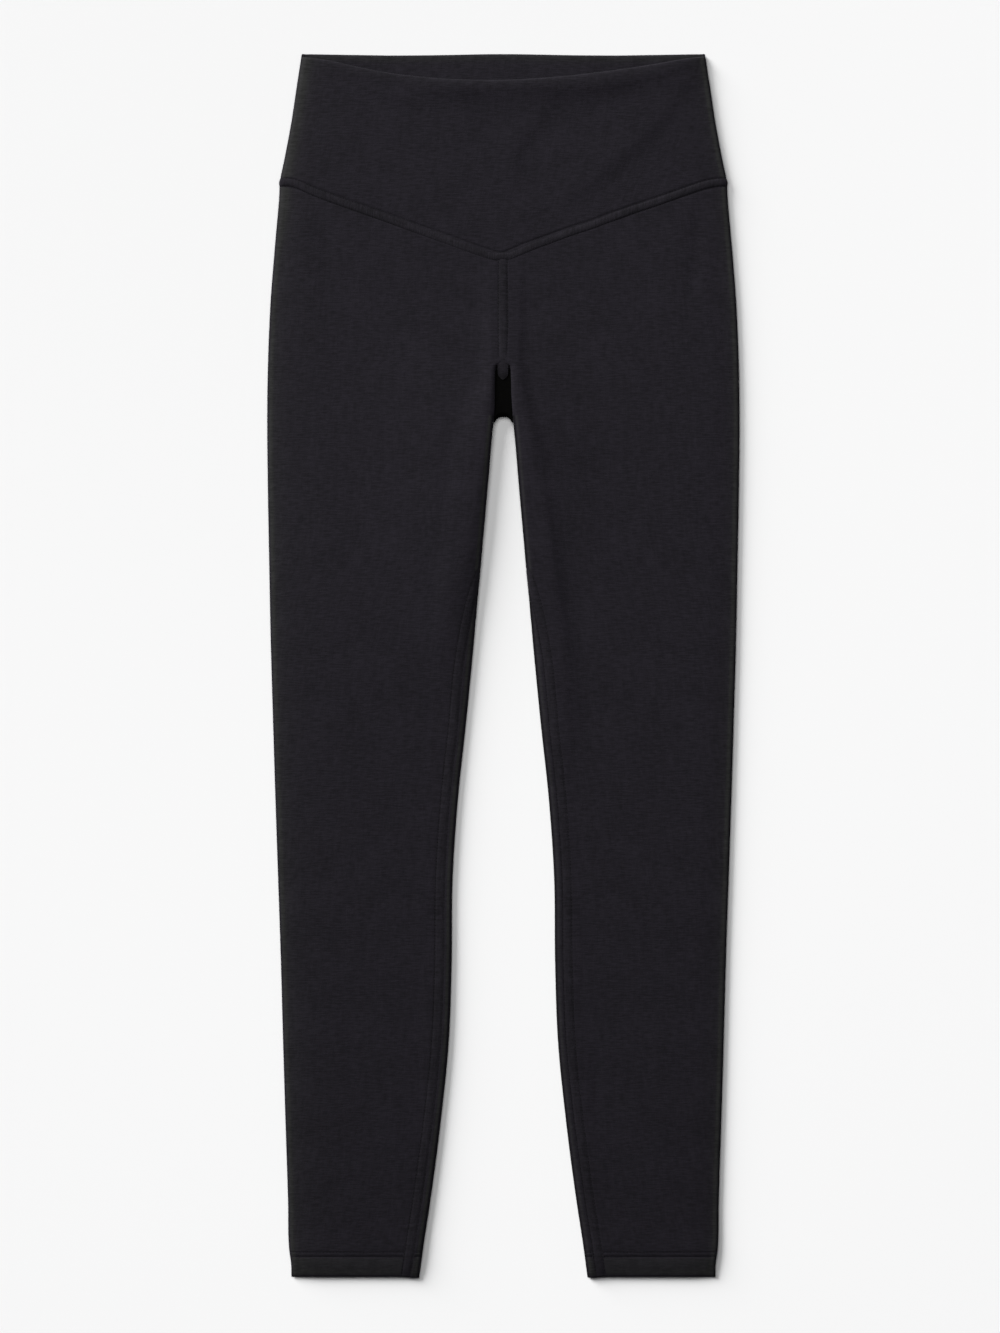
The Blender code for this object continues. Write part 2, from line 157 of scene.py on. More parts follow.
@dataclass(frozen=True)
class SoftLine:
    """A soft line that follows an edge: a paler or darker stripe, or a low bead.

    Attributes:
        strength: Lightness, share or height that it adds on its middle line.
        inset: Distance of that line from the edge.
        width: Distance from it at which about a third is left.
    """

    strength: float
    inset: float
    width: float

    def at(self, inset: Array) -> Array:
        """What the line adds at a distance from the edge."""
        return self.strength * bell(inset - self.inset, self.width)


def shading(lines: tuple[SoftLine, ...], inset: Array) -> Array:
    """Sum of what several lines add at a distance from the edge."""
    return sum(line.at(inset) for line in lines)


@dataclass(frozen=True)
class Pattern:
    """Sizes that the panels share, as cut, sewn and laid flat."""

    # Levels above the hem
    length: float = 953.9
    crotch: float = 671.0
    back_rise_end: float = 712.0
    back_yoke: float = 853.6
    hem_depth: float = 15.8
    hem_stitches: Pair = (16.4, 19.9)

    # Thickness of the cloth, and the gap between pieces
    leg_wall: float = 1.2
    hem_wall: float = 2.0
    hem_edge_wall: float = 1.2
    band_wall: float = 2.0
    seam_gap: float = 0.3

    # Folds: the reach of their upper and lower halves, the soft roll beside a side fold, and
    # the reach of the curl under an inner fold that stands off the surface
    nose: float = 5.0
    heel: float = 3.0
    shoulder: float = 24.0
    shoulder_drop: float = 0.7
    spring_under: float = 14.0

    # The back's edge beside the gusset, at the crotch
    gusset_back: float = 8.05

    # Hollows that a flush seam leaves in the cloth over it
    recess: float = 0.55
    recess_half: float = 3.6
    recess_slope: float = 1.6

    # Furrows that the stitches of a seam pull into the cloth
    furrow: float = 3.2
    furrow_width: float = 0.85
    furrow_depth: float = 0.32
    yoke_slant: float = 0.95
    rise_middle: float = -0.3
    rise_share: float = 0.5
    rise_levels: Pair = (714.0, 720.0)
    inseam_share: float = 0.3
    inseam_levels: Pair = (548.0, 536.0)

    # Painted sheen and highlights beside the side folds, and painted shade on their edge
    fold_shading: tuple[SoftLine, ...] = (SoftLine(0.28, 2.9, 1.5), SoftLine(0.14, 0, 9),
                                       SoftLine(-0.75, 0, 0.9))
    fold_shading_left: tuple[SoftLine, ...] = (SoftLine(0.28, 2.6, 1.3),)
    fold_shading_right: tuple[SoftLine, ...] = (SoftLine(0.05, 0, 34),)
    fold_shading_right_hip: tuple[SoftLine, ...] = (SoftLine(0.22, 3, 5), SoftLine(0.06, 0, 12))
    hip_levels: Pair = (790.0, 830.0)

    # Columns over a side fold: insets on its soft roll, and turns round its two halves
    shoulder_steps: Numbers = (24, 20.5, 17, 14, 11, 8.5, 6.5)
    nose_turns: Numbers = (90, 76, 63, 51, 40, 30, 21, 13, 6, 0)
    heel_turns: Numbers = (10, 22, 36, 52, 70, 90)

    # Outlines and levels along the garment
    side_fold: Table = Table(("half",), (
        (0, 165.4), (9, 165.4), (21, 166.9), (60, 167.9), (122, 169.9), (185, 171.8),
        (247, 173.5), (310, 175.6), (372, 177.7), (434, 179.6), (497, 181.4), (559, 182.6),
        (622, 183.7), (660, 184.1), (700, 183.8), (731, 182.9), (762, 181.4), (793, 179.0),
        (824, 176.3), (840, 174.9), (855, 174.0), (871, 170.8), (887, 167.7), (902, 165.0),
        (918, 162.6), (934, 160.2), (951, 157.6), (954, 157.2)))
    inner_fold: Table = Table(("half",), (
        (0, 65.6), (9, 64.4), (21, 62.8), (60, 56.9), (122, 48.8), (185, 42.5), (247, 40.3),
        (310, 39.6), (372, 35.5), (434, 28.9), (497, 22.8), (559, 17.2), (622, 11.6),
        (653, 9.0), (665, 7.8), (671, 7.2)))
    inseam: Table = Table(("reach", "band"), (
        (0, 10.5, 10.5), (150, 9.9, 9.9), (300, 9.7, 9.7), (420, 9.9, 9.9), (490, 9.5, 9.5),
        (530, 5.0, 5.0), (552, 1.5, 0), (575, 0, -3.6), (600, 0, -4.6), (671, 0, -4.6)))
    layers: Table = Table(("top",), (
        (0, 2.8), (4, 3.6), (9, 4.3), (15, 4.7), (22, 4.8), (40, 4.5), (60, 4.5), (300, 4.5),
        (560, 4.8), (671, 5.0), (790, 5.1), (853, 5.5), (955, 5.4)))
    thigh_spring: Table = Table(("lift",), (
        (0, 0), (350, 0), (375, 0), (400, 0.1), (434, 0.3), (466, 0.5), (497, 0.9),
        (528, 1.5), (559, 2.3), (590, 3.1), (629, 4.2), (660, 4.9), (671, 5.1), (684, 4.7),
        (703, 3.4), (712, 2.6), (726, 1.1), (740, 0.1), (755, 0), (955, 0)))
    front_yoke: Table = Table(("height",), (
        (-176, 853.6), (-165, 853.0), (-146.6, 845.7), (-120.9, 836.4), (-94.4, 827.2),
        (-68.6, 818.0), (-42.9, 809.0), (-17.2, 799.9), (-8, 796.9), (-3.5, 795.6),
        (-1.6, 795.3), (0.5, 795.8), (4, 797.2), (14, 801.5), (35.9, 809.5), (51.5, 815.2),
        (67.1, 820.2), (82.7, 826.0), (98.3, 831.5), (113.9, 836.6), (129.5, 841.9),
        (145.1, 847.4), (158, 851.5), (167, 853.2), (176, 853.6)))
    front_rim: Table = Table(("height",), (
        (-159, 951.6), (-136, 948.4), (-112, 943.0), (-89, 938.6), (-65, 935.6), (-42, 933.8),
        (-12, 932.9), (28, 934.3), (52, 936.4), (75, 939.1), (98, 942.2), (122, 946.1),
        (145, 950.2), (159, 951.6)))

    @property
    def fold_insets(self) -> Array:
        """Insets of a front's columns over its side fold, from the roll to its outermost line."""
        return np.concatenate([self.shoulder_steps, arc_insets(self.nose, self.nose_turns)])

    def side(self, height: Array) -> Array:
        """Half width out to the side fold."""
        return self.side_fold.smooth("half", height)

    def gap(self, height: Array) -> Array:
        """Half width of the gap between the legs."""
        return self.inner_fold.smooth("half", height)

    def middle(self, height: Array) -> Array:
        """Height of the folds' outermost line above the surface."""
        return self.layers.smooth("top", height) / 2

    def loft(self, height: Array, inset: Array) -> Array:
        """Outer height of the flat top layer, lower by a square law towards the side fold."""
        t = np.clip((inset - self.nose) / (self.shoulder - self.nose), 0, 1)
        return self.layers.smooth("top", height) - self.shoulder_drop * (1 - t) ** 2

    def spring(self, height: Array) -> Array:
        """How far the inner folds and the crotch stand off the surface."""
        return self.thigh_spring.smooth("lift", height)

    def curl(self, height: Array, inset: Array) -> Array:
        """Height of the underside beside an inner fold, falling to 0 along an S curve."""
        return self.spring(height) * (1 - s_curve(ramp(inset, 0, self.spring_under)))

    def seat(self, distance: Array) -> Array:
        """Depth of the hollow that a seam presses into the cloth over it."""
        end = self.recess_half + self.recess_slope
        return self.recess * (1 - s_curve(ramp(np.abs(distance), self.recess_half, end)))

    def yoke(self, across: Array) -> Array:
        """Height of the V seam."""
        return self.front_yoke.smooth("height", across)

    def furrowed(self, distance: Array) -> Array:
        """Depth of the two furrows that a seam's stitches pull into the cloth."""
        return self.furrow_depth * bell(np.abs(distance) - self.furrow, self.furrow_width)

    def yoke_furrowed(self, above: Array) -> Array:
        """Depth of the furrows beside the V seam, at a height above its middle line."""
        return self.furrowed(self.yoke_slant * above)

    def rise_furrowed(self, distance: Array, height: Array) -> Array:
        """Depth of the furrows beside the front rise seam, which begin above its tongue."""
        return self.rise_share * self.furrowed(distance) * ramp(height, *self.rise_levels)

    def inseam_furrowed(self, distance: Array, height: Array) -> Array:
        """Depth of the furrows beside an inseam, which end where it turns under."""
        return self.inseam_share * self.furrowed(distance) * ramp(height, *self.inseam_levels)

    def stitched(self, height: Array, strengths: Pair,
                 widths: Pair) -> Array:
        """Sum of a bell of its own strength and width over each stitch row of the hem."""
        return sum(strength * bell(height - level, width)
                   for level, strength, width in zip(self.hem_stitches, strengths, widths))

    def sheen_and_shade(self, inset: Array, sign: Array | int,
             height: Array) -> Array:
        """Painted sheen and highlight beside a side fold, less painted shade on its outer line.

        It is narrow and bright on the wearer's left, and broader on the right, above all at the
        hip.

        Args:
            inset: Distances in from the side fold.
            sign: Positive on the wearer's left.
            height: Heights above the hem.

        Returns:
            The change of lightness.
        """
        hip = ramp(height, *self.hip_levels) * shading(self.fold_shading_right_hip, inset)
        right = shading(self.fold_shading_right, inset) + hip
        left = shading(self.fold_shading_left, inset)
        return shading(self.fold_shading, inset) + np.where(np.asarray(sign) > 0, left, right)

    def back_edge(self, height: Array) -> Array:
        """Distance of the back panel's edge from the centre line above the crotch."""
        share = ramp(height, self.back_rise_end, self.crotch)
        return self.seam_gap / 2 + self.gusset_back * share

    def place(self, across: Array, height: Array, z: Array) -> Array:
        """Points in metres, with the garment's middle over the origin."""
        across, height, z = np.broadcast_arrays(across, height, z)
        return np.stack([across, height - self.length / 2, z], -1) * MM


@dataclass(frozen=True)
class Crease:
    """A soft ridge or trough along a bent line in a panel.

    Attributes:
        start: One end, as (across, height).
        middle: The point that the line bends towards.
        end: The other end.
        width: Half width, where it has fallen to about a third.
        rise: Its height; below 0 it is a trough.
        lee: Half width on the right-hand side, walked from the start; 0 where it is the same.
        taper: How quickly it fades at its ends.
        points: Points on its line.
        margin: How far from the fading sine's zeros its ends lie, as a share of the sine.
    """

    start: Pair
    middle: Pair
    end: Pair
    width: float
    rise: float
    lee: float = 0.0
    taper: float = 1.0
    points: int = 13
    margin: float = 0.05

    def lift(self, across: Array, height: Array) -> Array:
        """Height that the crease adds at each point.

        The line is a quadratic curve from start to end. A point takes the bell of its distance
        from the nearest of the curve's chords, times a sine that fades towards both ends.

        Args:
            across: Distances across.
            height: Heights above the hem.

        Returns:
            The added height, of the same shape.
        """
        t = np.linspace(0, 1, self.points)[:, None]
        line = ((1 - t) ** 2 * self.start + 2 * t * (1 - t) * np.array(self.middle)
                + t ** 2 * self.end)
        nearest = np.full(np.shape(across), np.inf)
        along = np.zeros(np.shape(across))
        right = np.zeros(np.shape(across), bool)
        for n, (a, b) in enumerate(zip(line[:-1], line[1:])):
            chord = b - a
            share = (across - a[0]) * chord[0] + (height - a[1]) * chord[1]
            share = np.clip(share / (chord @ chord), 0, 1)
            away = np.hypot(across - a[0] - share * chord[0], height - a[1] - share * chord[1])
            closer = away < nearest
            nearest = np.where(closer, away, nearest)
            turned = chord[0] * (height - a[1]) - chord[1] * (across - a[0])
            right = np.where(closer, turned < 0, right)
            along = np.where(closer, (n + share) / (len(line) - 1), along)
        turn = self.margin + (1 - 2 * self.margin) * along
        fade = np.sin(math.pi * turn) ** self.taper
        width = np.where(right, self.lee or self.width, self.width)
        return self.rise * fade * bell(nearest, width)


def relief(creases: tuple[Crease, ...], across: Array, height: Array) -> Array:
    """Sum of the creases' heights at each point.

    Args:
        creases: The creases.
        across: Distances across.
        height: Heights above the hem.

    Returns:
        The added height.
    """
    total = np.zeros(np.broadcast(across, height).shape)
    for crease in creases:
        total = total + crease.lift(across, height)
    return total


# --- Meshes


def wall(name: str, outer: Array, inner: Array, cloth: Array,
         tone: Array | float, inner_tone: Array | float = 1.0,
         closed_rows: int = 0) -> Piece:
    """Make a closed wall of cloth from its outer and inner grids.

    Each grid cell gives one outer and one inner face; every grid edge that has a face on one
    side only gets a rim between the two surfaces. The faces are turned outwards by the sign of
    the volume that they enclose.

    Args:
        name: The piece's name.
        outer: Points of the outer surface, rows by columns by 3, in metres.
        inner: Points of the inner surface, of the same shape.
        cloth: Cloth coordinates in metres, rows by columns + 1 by 2; the extra column closes
            the rows that are whole rings.
        tone: Lightness of each outer point.
        inner_tone: Lightness of each inner point.
        closed_rows: How many of the first rows are whole rings.

    Returns:
        The new object, at the origin.
    """
    rows, columns = outer.shape[:2]
    count = rows * columns
    i, j = np.mgrid[0:rows - 1, 0:columns]
    kept = (j + 1 < columns) | (i + 1 < closed_rows)
    i, j = i[kept], j[kept]
    k = (j + 1) % columns
    quads = np.stack([i * columns + j, i * columns + k,
                      (i + 1) * columns + k, (i + 1) * columns + j], -1)
    flat = np.stack([cloth[i, j], cloth[i, j + 1], cloth[i + 1, j + 1], cloth[i + 1, j]], 1)

    sides = np.concatenate([quads[:, (n, (n + 1) % 4)] for n in range(4)])
    side_flat = np.concatenate([flat[:, (n, (n + 1) % 4)] for n in range(4)])
    key = np.sort(sides, axis=1) @ (count, 1)
    _, found, uses = np.unique(key, return_index=True, return_counts=True)
    rim = found[uses == 1]
    a, b = sides[rim].T
    faces = np.concatenate([quads, np.stack([b, a, a + count, b + count], -1),
                            quads[:, ::-1] + count])
    uv = np.concatenate([flat, side_flat[rim][:, (1, 0, 0, 1)], flat[:, ::-1]])

    points = np.concatenate([outer.reshape(-1, 3), inner.reshape(-1, 3)])
    corner = points[faces]
    volume = np.cross(corner[:, 1] - corner[:, 0], corner[:, 3] - corner[:, 0])
    volume = volume + np.cross(corner[:, 3] - corner[:, 2], corner[:, 1] - corner[:, 2])
    if (volume * corner.mean(1)).sum() < 0:
        faces, uv = faces[:, ::-1], uv[:, ::-1]
    shade = np.concatenate([np.broadcast_to(t, (rows, columns)).ravel()
                            for t in (tone, inner_tone)])
    return solid(name, points, faces, uv, shade)


def solid(name: str, points: Array, faces: Array, uv: Array,
          tone: Array) -> Piece:
    """Put points, faces of equal size, cloth coordinates and tones into a new object.

    Args:
        name: The piece's name.
        points: Points in metres, n by 3.
        faces: Indices, m by corners.
        uv: Cloth coordinates of each corner, m by corners by 2.
        tone: Lightness of each point.

    Returns:
        The new object, smooth but for its sharp edges.
    """
    mesh = bpy.data.meshes.new(name)
    corners = faces.shape[1]
    mesh.vertices.add(len(points))
    mesh.vertices.foreach_set("co", points.astype(np.float32).ravel())
    mesh.loops.add(faces.size)
    mesh.loops.foreach_set("vertex_index", np.ascontiguousarray(faces, np.int32).ravel())
    mesh.polygons.add(len(faces))
    mesh.polygons.foreach_set("loop_start", np.arange(len(faces), dtype=np.int32) * corners)
    mesh.update(calc_edges=True)
    mesh.validate()
    layer = mesh.uv_layers.new(name=UV_MAP)
    layer.data.foreach_set("uv", np.ascontiguousarray(uv, np.float32).ravel())
    shade = mesh.attributes.new(TONE, "FLOAT", "POINT")
    shade.data.foreach_set("value", np.ascontiguousarray(tone, np.float32).ravel())
    mesh.shade_smooth()
    mesh.set_sharp_from_angle(angle=math.radians(SHARP_DEGREES))
    piece = bpy.data.objects.new(name, mesh)
    bpy.context.scene.collection.objects.link(piece)
    return piece


def girth(points: Array) -> Array:
    """Distance walked along each row of points, from 0 at its first."""
    steps = np.linalg.norm(np.diff(points, axis=1), axis=-1)
    return np.concatenate([np.zeros((len(points), 1)), np.cumsum(steps, axis=1)], axis=1)


def soften_rims(outer: Array, inner: Array,
                inset: Array, reach: float | Array) -> Arrays:
    """Round a wall's open edges.

    Both surfaces lean towards the middle of the wall along a quarter circle, by nothing at the
    reach and by a share of the wall, RIM_PINCH, at the edge.

    Args:
        outer: Outer points, in metres.
        inner: Inner points.
        inset: Each point's distance from the open edge, in millimetres.
        reach: How far in the rounding starts, in millimetres.

    Returns:
        The new outer and inner points.
    """
    pinch = (RIM_PINCH * (1 - quarter(inset, reach)))[..., None]
    return outer + (inner - outer) * pinch, inner + (outer - inner) * pinch


@dataclass(frozen=True)
class Flatlock:
    """Cross-section of a flatlock seam: a low raised band between two stitched furrows.

    Attributes:
        offsets: Distances from the seam's middle.
        heights: Height over the cloth at each of them.
        shades: Lightness at each of them, darker in the stitched furrows as painted shade.
        furrow: Distance of the two stitched furrows from the middle.
        sink: How deep the seam reaches into the cloth.
    """

    offsets: Numbers = (0, 0.4, 0.9, 1.4, 1.9, 2.3, 2.6, 2.85, 3.1, 3.35, 3.6, 3.9)
    heights: Numbers = (0.42, 0.415, 0.385, 0.33, 0.26, 0.19, 0.125, 0.07, 0.01, 0.0, 0.01, -0.05)
    shades: Numbers = (0.96, 0.96, 0.96, 0.95, 0.93, 0.88, 0.78, 0.68, 0.62, 0.66, 0.78, 0.92)
    furrow: float = 3.1
    sink: float = 0.2

    def across(self) -> Array:
        """Offsets on both sides of the middle."""
        half = np.array(self.offsets)
        return np.concatenate([-half[:0:-1], half])

    def stand(self) -> Array:
        """Heights on both sides of the middle."""
        half = np.array(self.heights)
        return np.concatenate([half[:0:-1], half])

    def tone(self, strength: float = 1.0) -> Array:
        """Lightness on both sides of the middle, at some strength of its contrast."""
        half = 1 - strength * (1 - np.array(self.shades))
        return np.concatenate([half[:0:-1], half])


def normals(base: Array) -> Array:
    """Unit normals of a grid of points: the cross product of its steps across and along.

    Args:
        base: Points, along by across by 3.

    Returns:
        The normals, of the same shape.
    """
    along, side = np.gradient(base, axis=0), np.gradient(base, axis=1)
    square = np.cross(side, along)
    return square / np.linalg.norm(square, axis=-1, keepdims=True)


def ribbon(name: str, base: Array, stand: Array, sink: float, tone: Array,
           up: int = 1) -> Piece:
    """Make a seam band on a grid of surface points.

    The band's face stands off the surface along its normals, and its foot sinks below it.

    Args:
        name: The piece's name.
        base: Surface points, along by across by 3, in metres.
        stand: Height of the face over the surface, in millimetres.
        sink: Depth of the foot, in millimetres.
        tone: Lightness of the band, across it.
        up: 1, or -1 where the grid's normals point into the cloth.

    Returns:
        The new object.
    """
    out = normals(base) * up * MM
    run = girth(base.transpose(1, 0, 2)).T
    wide = girth(base)
    cloth = np.stack([wide, run], -1)
    cloth = np.concatenate([cloth, cloth[:, -1:]], axis=1)
    shade = np.broadcast_to(tone, base.shape[:2])
    return wall(name, base + out * np.asarray(stand)[..., None], base - out * sink, cloth, shade)


@dataclass(frozen=True)
class Stitch:
    """One stitch of cover thread, a short arch with tapered ends.

    Attributes:
        pitch: Distance from one stitch to the next.
        length: Length of the thread that shows.
        radius: Half its thickness.
        dip: How far its ends go down into the cloth.
        lift: Height of its middle line over the path.
        sides: Points on each ring round the thread.
        rings: Places of the rings along it, as shares of its length from its middle.
        swell: Thickness at each ring, as a share of the full one.
        girth: Way round the thread, in radii.
    """

    pitch: float = 2.5
    length: float = 2.1
    radius: float = 0.16
    dip: float = 0.3
    lift: float = 0.02
    sides: int = 5
    rings: Numbers = (-0.3, 0.0, 0.3)
    swell: Numbers = (0.85, 1.0, 0.85)
    girth: float = 6.0

    @property
    def places(self) -> Array:
        """Place of each point along the stitch: the rings' points, then the two tips."""
        return np.append(np.repeat(self.rings, self.sides), (-0.5, 0.5))

    def row(self, path: Array, out: Array) -> Array:
        """Points of every stitch along a path, each an arch that sinks by a square law.

        Args:
            path: Points of the path in metres, n by 3.
            out: Unit normals of the cloth along it.

        Returns:
            Stitches by points by 3: the rings' points in turn, then the two tips.
        """
        run = girth(path[None])[0]
        spots = np.arange(self.pitch * MM, run[-1] - self.pitch * MM / 2, self.pitch * MM)
        way = np.gradient(path, run, axis=0)
        at, way, up = (np.stack([np.interp(spots, run, v[:, n]) for n in range(3)], -1)
                       for v in (path, way, out))
        way /= np.linalg.norm(way, axis=-1, keepdims=True)
        up /= np.linalg.norm(up, axis=-1, keepdims=True)
        beside = np.cross(up, way)
        turn = np.tile(np.arange(self.sides) * 2 * math.pi / self.sides, len(self.rings))
        radius = np.repeat(self.swell, self.sides) * self.radius
        side = np.append(radius * np.cos(turn), (0, 0))
        high = np.append(radius * np.sin(turn), (0, 0))
        t = self.places
        high = high + self.lift - self.dip * (2 * t) ** 2
        return at[:, None] + MM * (way[:, None] * (t * self.length)[:, None]
                                   + beside[:, None] * side[:, None]
                                   + up[:, None] * high[:, None])

    def sew(self, name: str, rows: list[Arrays]) -> Piece:
        """Make one piece from stitches along several paths.

        Args:
            name: The piece's name.
            rows: For each path, its points in metres and its normals.

        Returns:
            The new object.
        """
        points = np.concatenate([self.row(path, out) for path, out in rows])
        stitches, count = points.shape[:2]
        n, last = self.sides, self.sides * (len(self.rings) - 1)
        start, turn = np.mgrid[0:last:n, 0:n]
        after = (turn + 1) % n
        barrel = np.stack([start + turn, start + after, start + n + after, start + n + turn],
                          -1).reshape(-1, 4)
        end = np.arange(n)
        after = (end + 1) % n
        tip = np.stack([after, end, np.full(n, count - 2)], -1)
        tail = np.stack([end + last, after + last, np.full(n, count - 1)], -1)
        triangles = np.concatenate([barrel[:, (0, 1, 2)], tip, tail, barrel[:, (0, 2, 3)]])
        corner = points[0][triangles]
        turned = np.cross(corner[:, 1] - corner[:, 0], corner[:, 2] - corner[:, 0])
        if (turned * (corner.mean(1) - points[0].mean(0))).sum() < 0:
            triangles = triangles[:, ::-1]
        faces = (triangles + count * np.arange(stitches)[:, None, None]).reshape(-1, 3)
        along = (self.places + 0.5) * self.length * MM
        share = np.append(np.tile(end / n, len(self.rings)), (0, 0))
        uv = np.stack([share * self.radius * self.girth * MM, along], -1)[triangles]
        uv = np.tile(uv, (stitches, 1, 1))
        return solid(name, points.reshape(-1, 3), faces, uv, np.ones(stitches * count))


# --- Finishes


def group(name: str, inputs: dict[str, str], outputs: dict[str, str]) -> bpy.types.NodeTree:
    """Start a shader node group with named sockets.

    Args:
        name: The group's name.
        inputs: Socket types by input name.
        outputs: Socket types by output name.

    Returns:
        The empty group, with its input and output nodes.
    """
    tree = bpy.data.node_groups.new(name, "ShaderNodeTree")
    for direction, sockets in (("INPUT", inputs), ("OUTPUT", outputs)):
        for label, kind in sockets.items():
            tree.interface.new_socket(label, in_out=direction, socket_type="NodeSocket" + kind)
    tree.nodes.new("NodeGroupInput").name = "in"
    tree.nodes.new("NodeGroupOutput").name = "out"
    return tree


def math_node(tree: bpy.types.NodeTree, operation: str, a: object,
              b: object = None) -> bpy.types.NodeSocket:
    """Add a math node.

    Args:
        tree: The node tree.
        operation: What it does.
        a: Its first input, a socket or a number.
        b: Its second input, where it has one.

    Returns:
        Its result.
    """
    node = tree.nodes.new("ShaderNodeMath")
    node.operation = operation
    for n, value in enumerate((a, b)):
        if isinstance(value, bpy.types.NodeSocket):
            tree.links.new(value, node.inputs[n])
        elif value is not None:
            node.inputs[n].default_value = value
    return node.outputs[0]


@dataclass(frozen=True)
class Grain:
    """Noise whose cells have their own size across and along the cloth.

    Attributes:
        across: Size of a cell across the cloth, in millimetres.
        along: Its size along the cloth.
        detail: Octaves of the noise.
        seed: Shift of the pattern.
        weight: Its share in the sum that it is part of.
        roughness: What each octave keeps of the one before.
        shift: Way in which the seed shifts the pattern.
    """

    across: float
    along: float
    detail: float
    seed: float
    weight: float = 1.0
    roughness: float = 0.6
    shift: tuple[float, float, float] = (1, 1.7, 0.6)

    def value(self, tree: bpy.types.NodeTree,
              cloth: bpy.types.NodeSocket) -> bpy.types.NodeSocket:
        """Add the noise to a tree.

        Args:
            tree: The node tree.
            cloth: The cloth coordinates, in metres.

        Returns:
            The noise's value, around 0.5.
        """
        scale = tree.nodes.new("ShaderNodeVectorMath")
        scale.operation = "MULTIPLY_ADD"
        scale.inputs[1].default_value = (1 / (self.across * MM), 1 / (self.along * MM), 1)
        scale.inputs[2].default_value = tuple(self.seed * way for way in self.shift)
        tree.links.new(cloth, scale.inputs[0])
        noise = tree.nodes.new("ShaderNodeTexNoise")
        noise.inputs["Scale"].default_value = 1
        noise.inputs["Detail"].default_value = self.detail
        noise.inputs["Roughness"].default_value = self.roughness
        tree.links.new(scale.outputs[0], noise.inputs["Vector"])
        return noise.outputs["Fac"]


HEATHER = (
    Grain(1.0, 0.8, 3, 3.1, weight=0.9),        # flecks
    Grain(9.0, 1.0, 2, 11.7, weight=2.6),       # thin streaks across the cloth
    Grain(2.6, 14.0, 2, 23.9, weight=0.9),      # streaks along it
    Grain(3.4, 2.8, 2, 41.3, weight=0.8),       # mottling
    Grain(34.0, 26.0, 3, 5.3, weight=0.7),      # slow clouds
)
GREYING = 3.0
WALES = Grain(0.62, 5.0, 1, 7.7)
COURSES = Grain(3.4, 0.55, 1, 13.3)
NAP = Grain(0.9, 0.7, 4, 19.1)
SLACK = Grain(13.0, 7.0, 2, 29.5, weight=1.4)


def heather_group() -> bpy.types.NodeTree:
    """Make the group that mixes a jersey's dark and light fibres.

    The layers of HEATHER are added, each around a middle of 0, and their sum moves the colour
    between the two fibres' colours. The tone, which carries painted highlights, sheen and shade,
    scales it. Where the tone is over 1 its colour turns to grey by GREYING times the excess: the
    neutral colour of painted sheen, and of the paler hem.

    Returns:
        The group: Cloth, Dark, Light, Contrast, Tone in; Color out.
    """
    tree = group("heathered_fibres",
                 {"Cloth": "Vector", "Dark": "Color", "Light": "Color", "Contrast": "Float",
                  "Tone": "Float"}, {"Color": "Color"})
    given, out = tree.nodes["in"], tree.nodes["out"]
    cloth = given.outputs["Cloth"]
    total = None
    for grain in HEATHER:
        part = math_node(tree, "SUBTRACT", grain.value(tree, cloth), 0.5)
        part = math_node(tree, "MULTIPLY", part, grain.weight)
        total = part if total is None else math_node(tree, "ADD", total, part)
    total = math_node(tree, "MULTIPLY", total, given.outputs["Contrast"])
    share = math_node(tree, "ADD", total, 0.5)
    mix = tree.nodes.new("ShaderNodeMix")
    mix.data_type = "RGBA"
    tree.links.new(share, mix.inputs["Factor"])
    tree.links.new(given.outputs["Dark"], mix.inputs["A"])
    tree.links.new(given.outputs["Light"], mix.inputs["B"])
    # Greying where the tone is over 1: the neutral colour of painted sheen and of the paler hem
    sheen_and_shade = math_node(tree, "SUBTRACT", given.outputs["Tone"], 1.0)
    sheen_and_shade = math_node(tree, "MULTIPLY", sheen_and_shade, -GREYING)
    sheen_and_shade = math_node(tree, "ADD", sheen_and_shade, 1.0)
    limit = tree.nodes.new("ShaderNodeClamp")
    tree.links.new(sheen_and_shade, limit.inputs["Value"])
    greyed = tree.nodes.new("ShaderNodeHueSaturation")
    tree.links.new(limit.outputs["Result"], greyed.inputs["Saturation"])
    tree.links.new(mix.outputs["Result"], greyed.inputs["Color"])
    toned = tree.nodes.new("ShaderNodeVectorMath")
    toned.operation = "SCALE"
    tree.links.new(greyed.outputs["Color"], toned.inputs[0])
    tree.links.new(given.outputs["Tone"], toned.inputs["Scale"])
    tree.links.new(toned.outputs[0], out.inputs["Color"])
    return tree


def knit_group() -> bpy.types.NodeTree:
    """Make the group that gives a brushed jersey its height.

    Narrow wales of loops run along the cloth, courses run across it, a short nap stands over
    both, and the whole lies a little slack. Each is noise with cells of its own proportions, so
    nothing repeats exactly.

    Returns:
        The group: Cloth, Loops, Nap in; Height out.
    """
    tree = group("brushed_knit", {"Cloth": "Vector", "Loops": "Float", "Nap": "Float"},
                 {"Height": "Float"})
    given, out = tree.nodes["in"], tree.nodes["out"]
    cloth = given.outputs["Cloth"]
    loops = math_node(tree, "ADD", WALES.value(tree, cloth), COURSES.value(tree, cloth))
    loops = math_node(tree, "MULTIPLY", loops, given.outputs["Loops"])
    nap = math_node(tree, "MULTIPLY", NAP.value(tree, cloth), given.outputs["Nap"])
    slack = math_node(tree, "MULTIPLY", SLACK.value(tree, cloth), SLACK.weight)
    height = math_node(tree, "ADD", loops, nap)
    height = math_node(tree, "ADD", height, slack)
    tree.links.new(height, out.inputs["Height"])
    return tree


